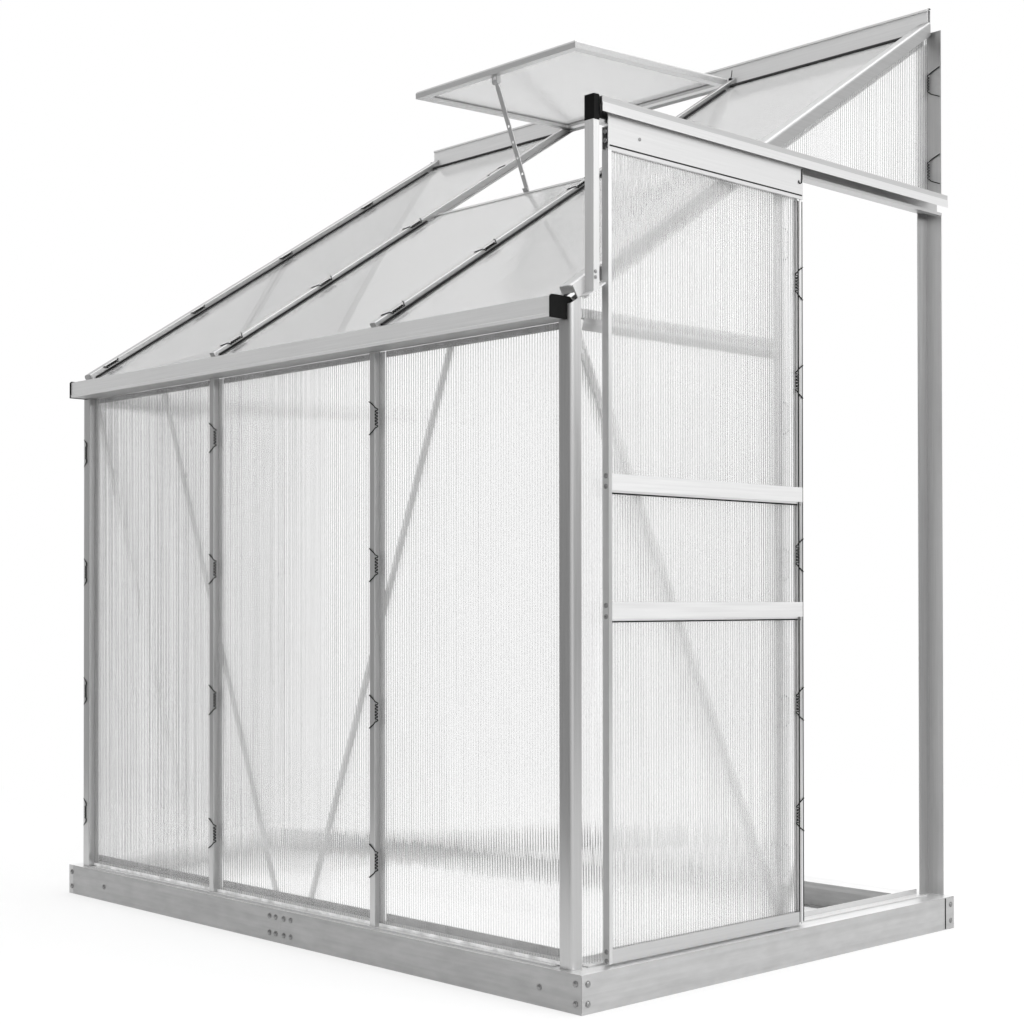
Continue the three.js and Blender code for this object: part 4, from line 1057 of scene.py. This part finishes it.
def ridge_plugs():
    """The plug beside the vent's hinge, and the one in the ridge bar's left end."""
    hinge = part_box("vent_frame")[1]
    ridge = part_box("ridge_bar")[0]
    work = bmesh.new()
    lathe(work, HINGE_PLUG_PROFILE, hinge + HINGE_PLUG, X)
    prism(work, BAR_PLUG_OUTLINE, ridge + BAR_PLUG, Y, Z, X * BAR_PLUG_DEPTH)
    add_piece("ridge_plugs", work, [black_plastic])


def hinge_hook():
    """The wire hook on the ridge bar's front beside the vent's hinge."""
    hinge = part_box("vent_frame")[1]
    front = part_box("ridge_bar")[0].y - HINGE_HOOK_GAP
    points = [Vector((hinge.x + x, front, hinge.z + z)) for x, z in HINGE_HOOK_BENDS]
    work = bmesh.new()
    tube(work, cut_corners(points), HINGE_HOOK_WIRE)
    add_piece("hinge_hook", work, [spring_wire])


def door_hook():
    """The wire hook at the top of the door's rear stile."""
    points = [Vector((DOOR_HOOK_FACE, y, z)) for y, z in DOOR_HOOK_BENDS]
    work = bmesh.new()
    tube(work, cut_corners(points), DOOR_HOOK_WIRE)
    add_piece("door_hook", work, [spring_wire], "door")


# Studio
WORLD_LIGHT = 0.88
FLOOR_GREY = 0.9
FLOOR_REACH = 40.0
FLOOR_NEAR = 1.2
FLOOR_FAR = 3.5
FLOOR_LIFT = 0.65
MAX_BOUNCES = 20
DIFFUSE_BOUNCES = 6
CLEAR_BOUNCES = 40


def camera():
    data = bpy.data.cameras.new("camera")
    eye = bpy.data.objects.new("camera", data)
    scene.collection.objects.link(eye)
    data.sensor_width = SENSOR
    data.lens = FOCAL_PX * SENSOR / PICTURE_PX
    data.shift_y = (HORIZON_PX - PICTURE_PX / 2) / PICTURE_PX
    data.clip_end = 2 * FLOOR_REACH
    level = math.cos(CAMERA_PITCH)
    forward = Vector((-math.sin(CAMERA_YAW) * level, math.cos(CAMERA_YAW) * level,
                      math.sin(CAMERA_PITCH)))
    turn = forward.to_track_quat("-Z", "Y").to_matrix() @ Matrix.Rotation(CAMERA_ROLL, 3, "Z")
    eye.matrix_world = Matrix.Translation(CAMERA_PLACE) @ turn.to_4x4()
    scene.camera = eye


def seen_directly(finish):
    """One for rays by which the camera, metal or glass sees something, nought for lighting."""
    path = finish.node("ShaderNodeLightPath")
    seen = finish.sum(path.outputs["Is Camera Ray"], path.outputs["Is Glossy Ray"])
    links = {0: seen, 1: path.outputs["Is Transmission Ray"]}
    settings = {"operation": "ADD", "use_clamp": True}
    return finish.node("ShaderNodeMath", links, settings).outputs[0]


class WorldFinish(Finish):
    """The same short way, for the world's nodes."""

    def __init__(self):
        self.world = bpy.data.worlds.new("studio")
        self.world.use_nodes = True
        self.tree = self.world.node_tree
        self.tree.nodes.clear()


def white_world():
    finish = WorldFinish()
    light = finish.node("ShaderNodeBackground", Strength=WORLD_LIGHT, Color=(*WHITE, 1))
    white = finish.node("ShaderNodeBackground", Strength=1.0, Color=(*WHITE, 1))
    mix = finish.mix(seen_directly(finish), light, white)
    finish.node("ShaderNodeOutputWorld", {"Surface": mix.outputs[0]})
    scene.world = finish.world


def flat_mesh(name, corners, material):
    mesh = bpy.data.meshes.new(name)
    mesh.from_pydata([tuple(corner) for corner in corners], [], [tuple(range(len(corners)))])
    mesh.materials.append(material)
    flat = bpy.data.objects.new(name, mesh)
    scene.collection.objects.link(flat)
    return flat


def floor():
    """A pale floor that keeps the shadow near the object and turns white far out."""
    finish = Finish("pale_floor")
    place = finish.node("ShaderNodeTexCoord").outputs["Object"]
    distance = finish.node("ShaderNodeVectorMath", {0: place}, {"operation": "LENGTH"})
    far = finish.ramp(distance.outputs["Value"], FLOOR_LIFT, 1.0, FLOOR_NEAR, FLOOR_FAR)
    lift = finish.math("MULTIPLY", far, seen_directly(finish))
    pale = finish.node("ShaderNodeBsdfDiffuse", Color=(FLOOR_GREY, FLOOR_GREY, FLOOR_GREY, 1))
    white = finish.node("ShaderNodeEmission", Strength=1.0)
    material = finish.done(finish.mix(lift, pale, white))
    r = FLOOR_REACH
    flat_mesh("floor", [(-r, -r, 0), (r, -r, 0), (r, r, 0), (-r, r, 0)], material)


def grey_card(name, centre, facing, half_width, low, high, level):
    """A standing grey card, which only the metal's reflections see."""
    finish = Finish(name)
    material = finish.done(finish.node("ShaderNodeEmission", Strength=level))
    across = Z.cross(Vector(facing)).normalized() * half_width
    left, right = Vector(centre) - across, Vector(centre) + across
    corners = [left + Z * low, right + Z * low, right + Z * high, left + Z * high]
    card = flat_mesh(name, corners, material)
    card.visible_camera = False
    card.visible_diffuse = False
    card.visible_transmission = False
    card.visible_shadow = False


def soft_lamp(name, place, target, width, height, power):
    data = bpy.data.lights.new(name, "AREA")
    data.shape = "RECTANGLE"
    data.size = width
    data.size_y = height
    data.energy = power
    lamp = bpy.data.objects.new(name, data)
    scene.collection.objects.link(lamp)
    turn = (Vector(target) - Vector(place)).to_track_quat("-Z", "Y").to_matrix().to_4x4()
    lamp.matrix_world = Matrix.Translation(place) @ turn


def studio():
    scene.view_settings.view_transform = "Standard"
    scene.cycles.max_bounces = MAX_BOUNCES
    scene.cycles.diffuse_bounces = DIFFUSE_BOUNCES
    scene.cycles.transparent_max_bounces = CLEAR_BOUNCES
    white_world()
    floor()
    grey_card("card_front", centre=(-0.9, -1.8, 0), facing=(0, 1, 0), half_width=2.8, low=0.0,
              high=3.2, level=0.34)
    grey_card("card_right", centre=(4.2, 3.6, 0), facing=(-0.7, -0.7, 0), half_width=2.2,
              low=0.05, high=1.8, level=0.45)
    soft_lamp("right_lamp", place=(5.5, 0.5, 3.6), target=(0.5, 0, 1.0), width=4.0, height=3.0,
              power=105)
    soft_lamp("top_lamp", place=(0.5, 0.5, 6.0), target=(0, 0, 1.0), width=5.0, height=5.0,
              power=140)


camera()
studio()
dress_frame()
sheets()
base_bolts()
base_brackets()
door_fasteners()
strut_bolts()
glazing_clips()
roof_clips()
door_clips()
rafter_seals()
rafter_ends()
ridge_seals()
front_sheet_ends()
door_seals_and_shade()
track_cover()
base_end_plate()
ridge_plugs()
hinge_hook()
door_hook()
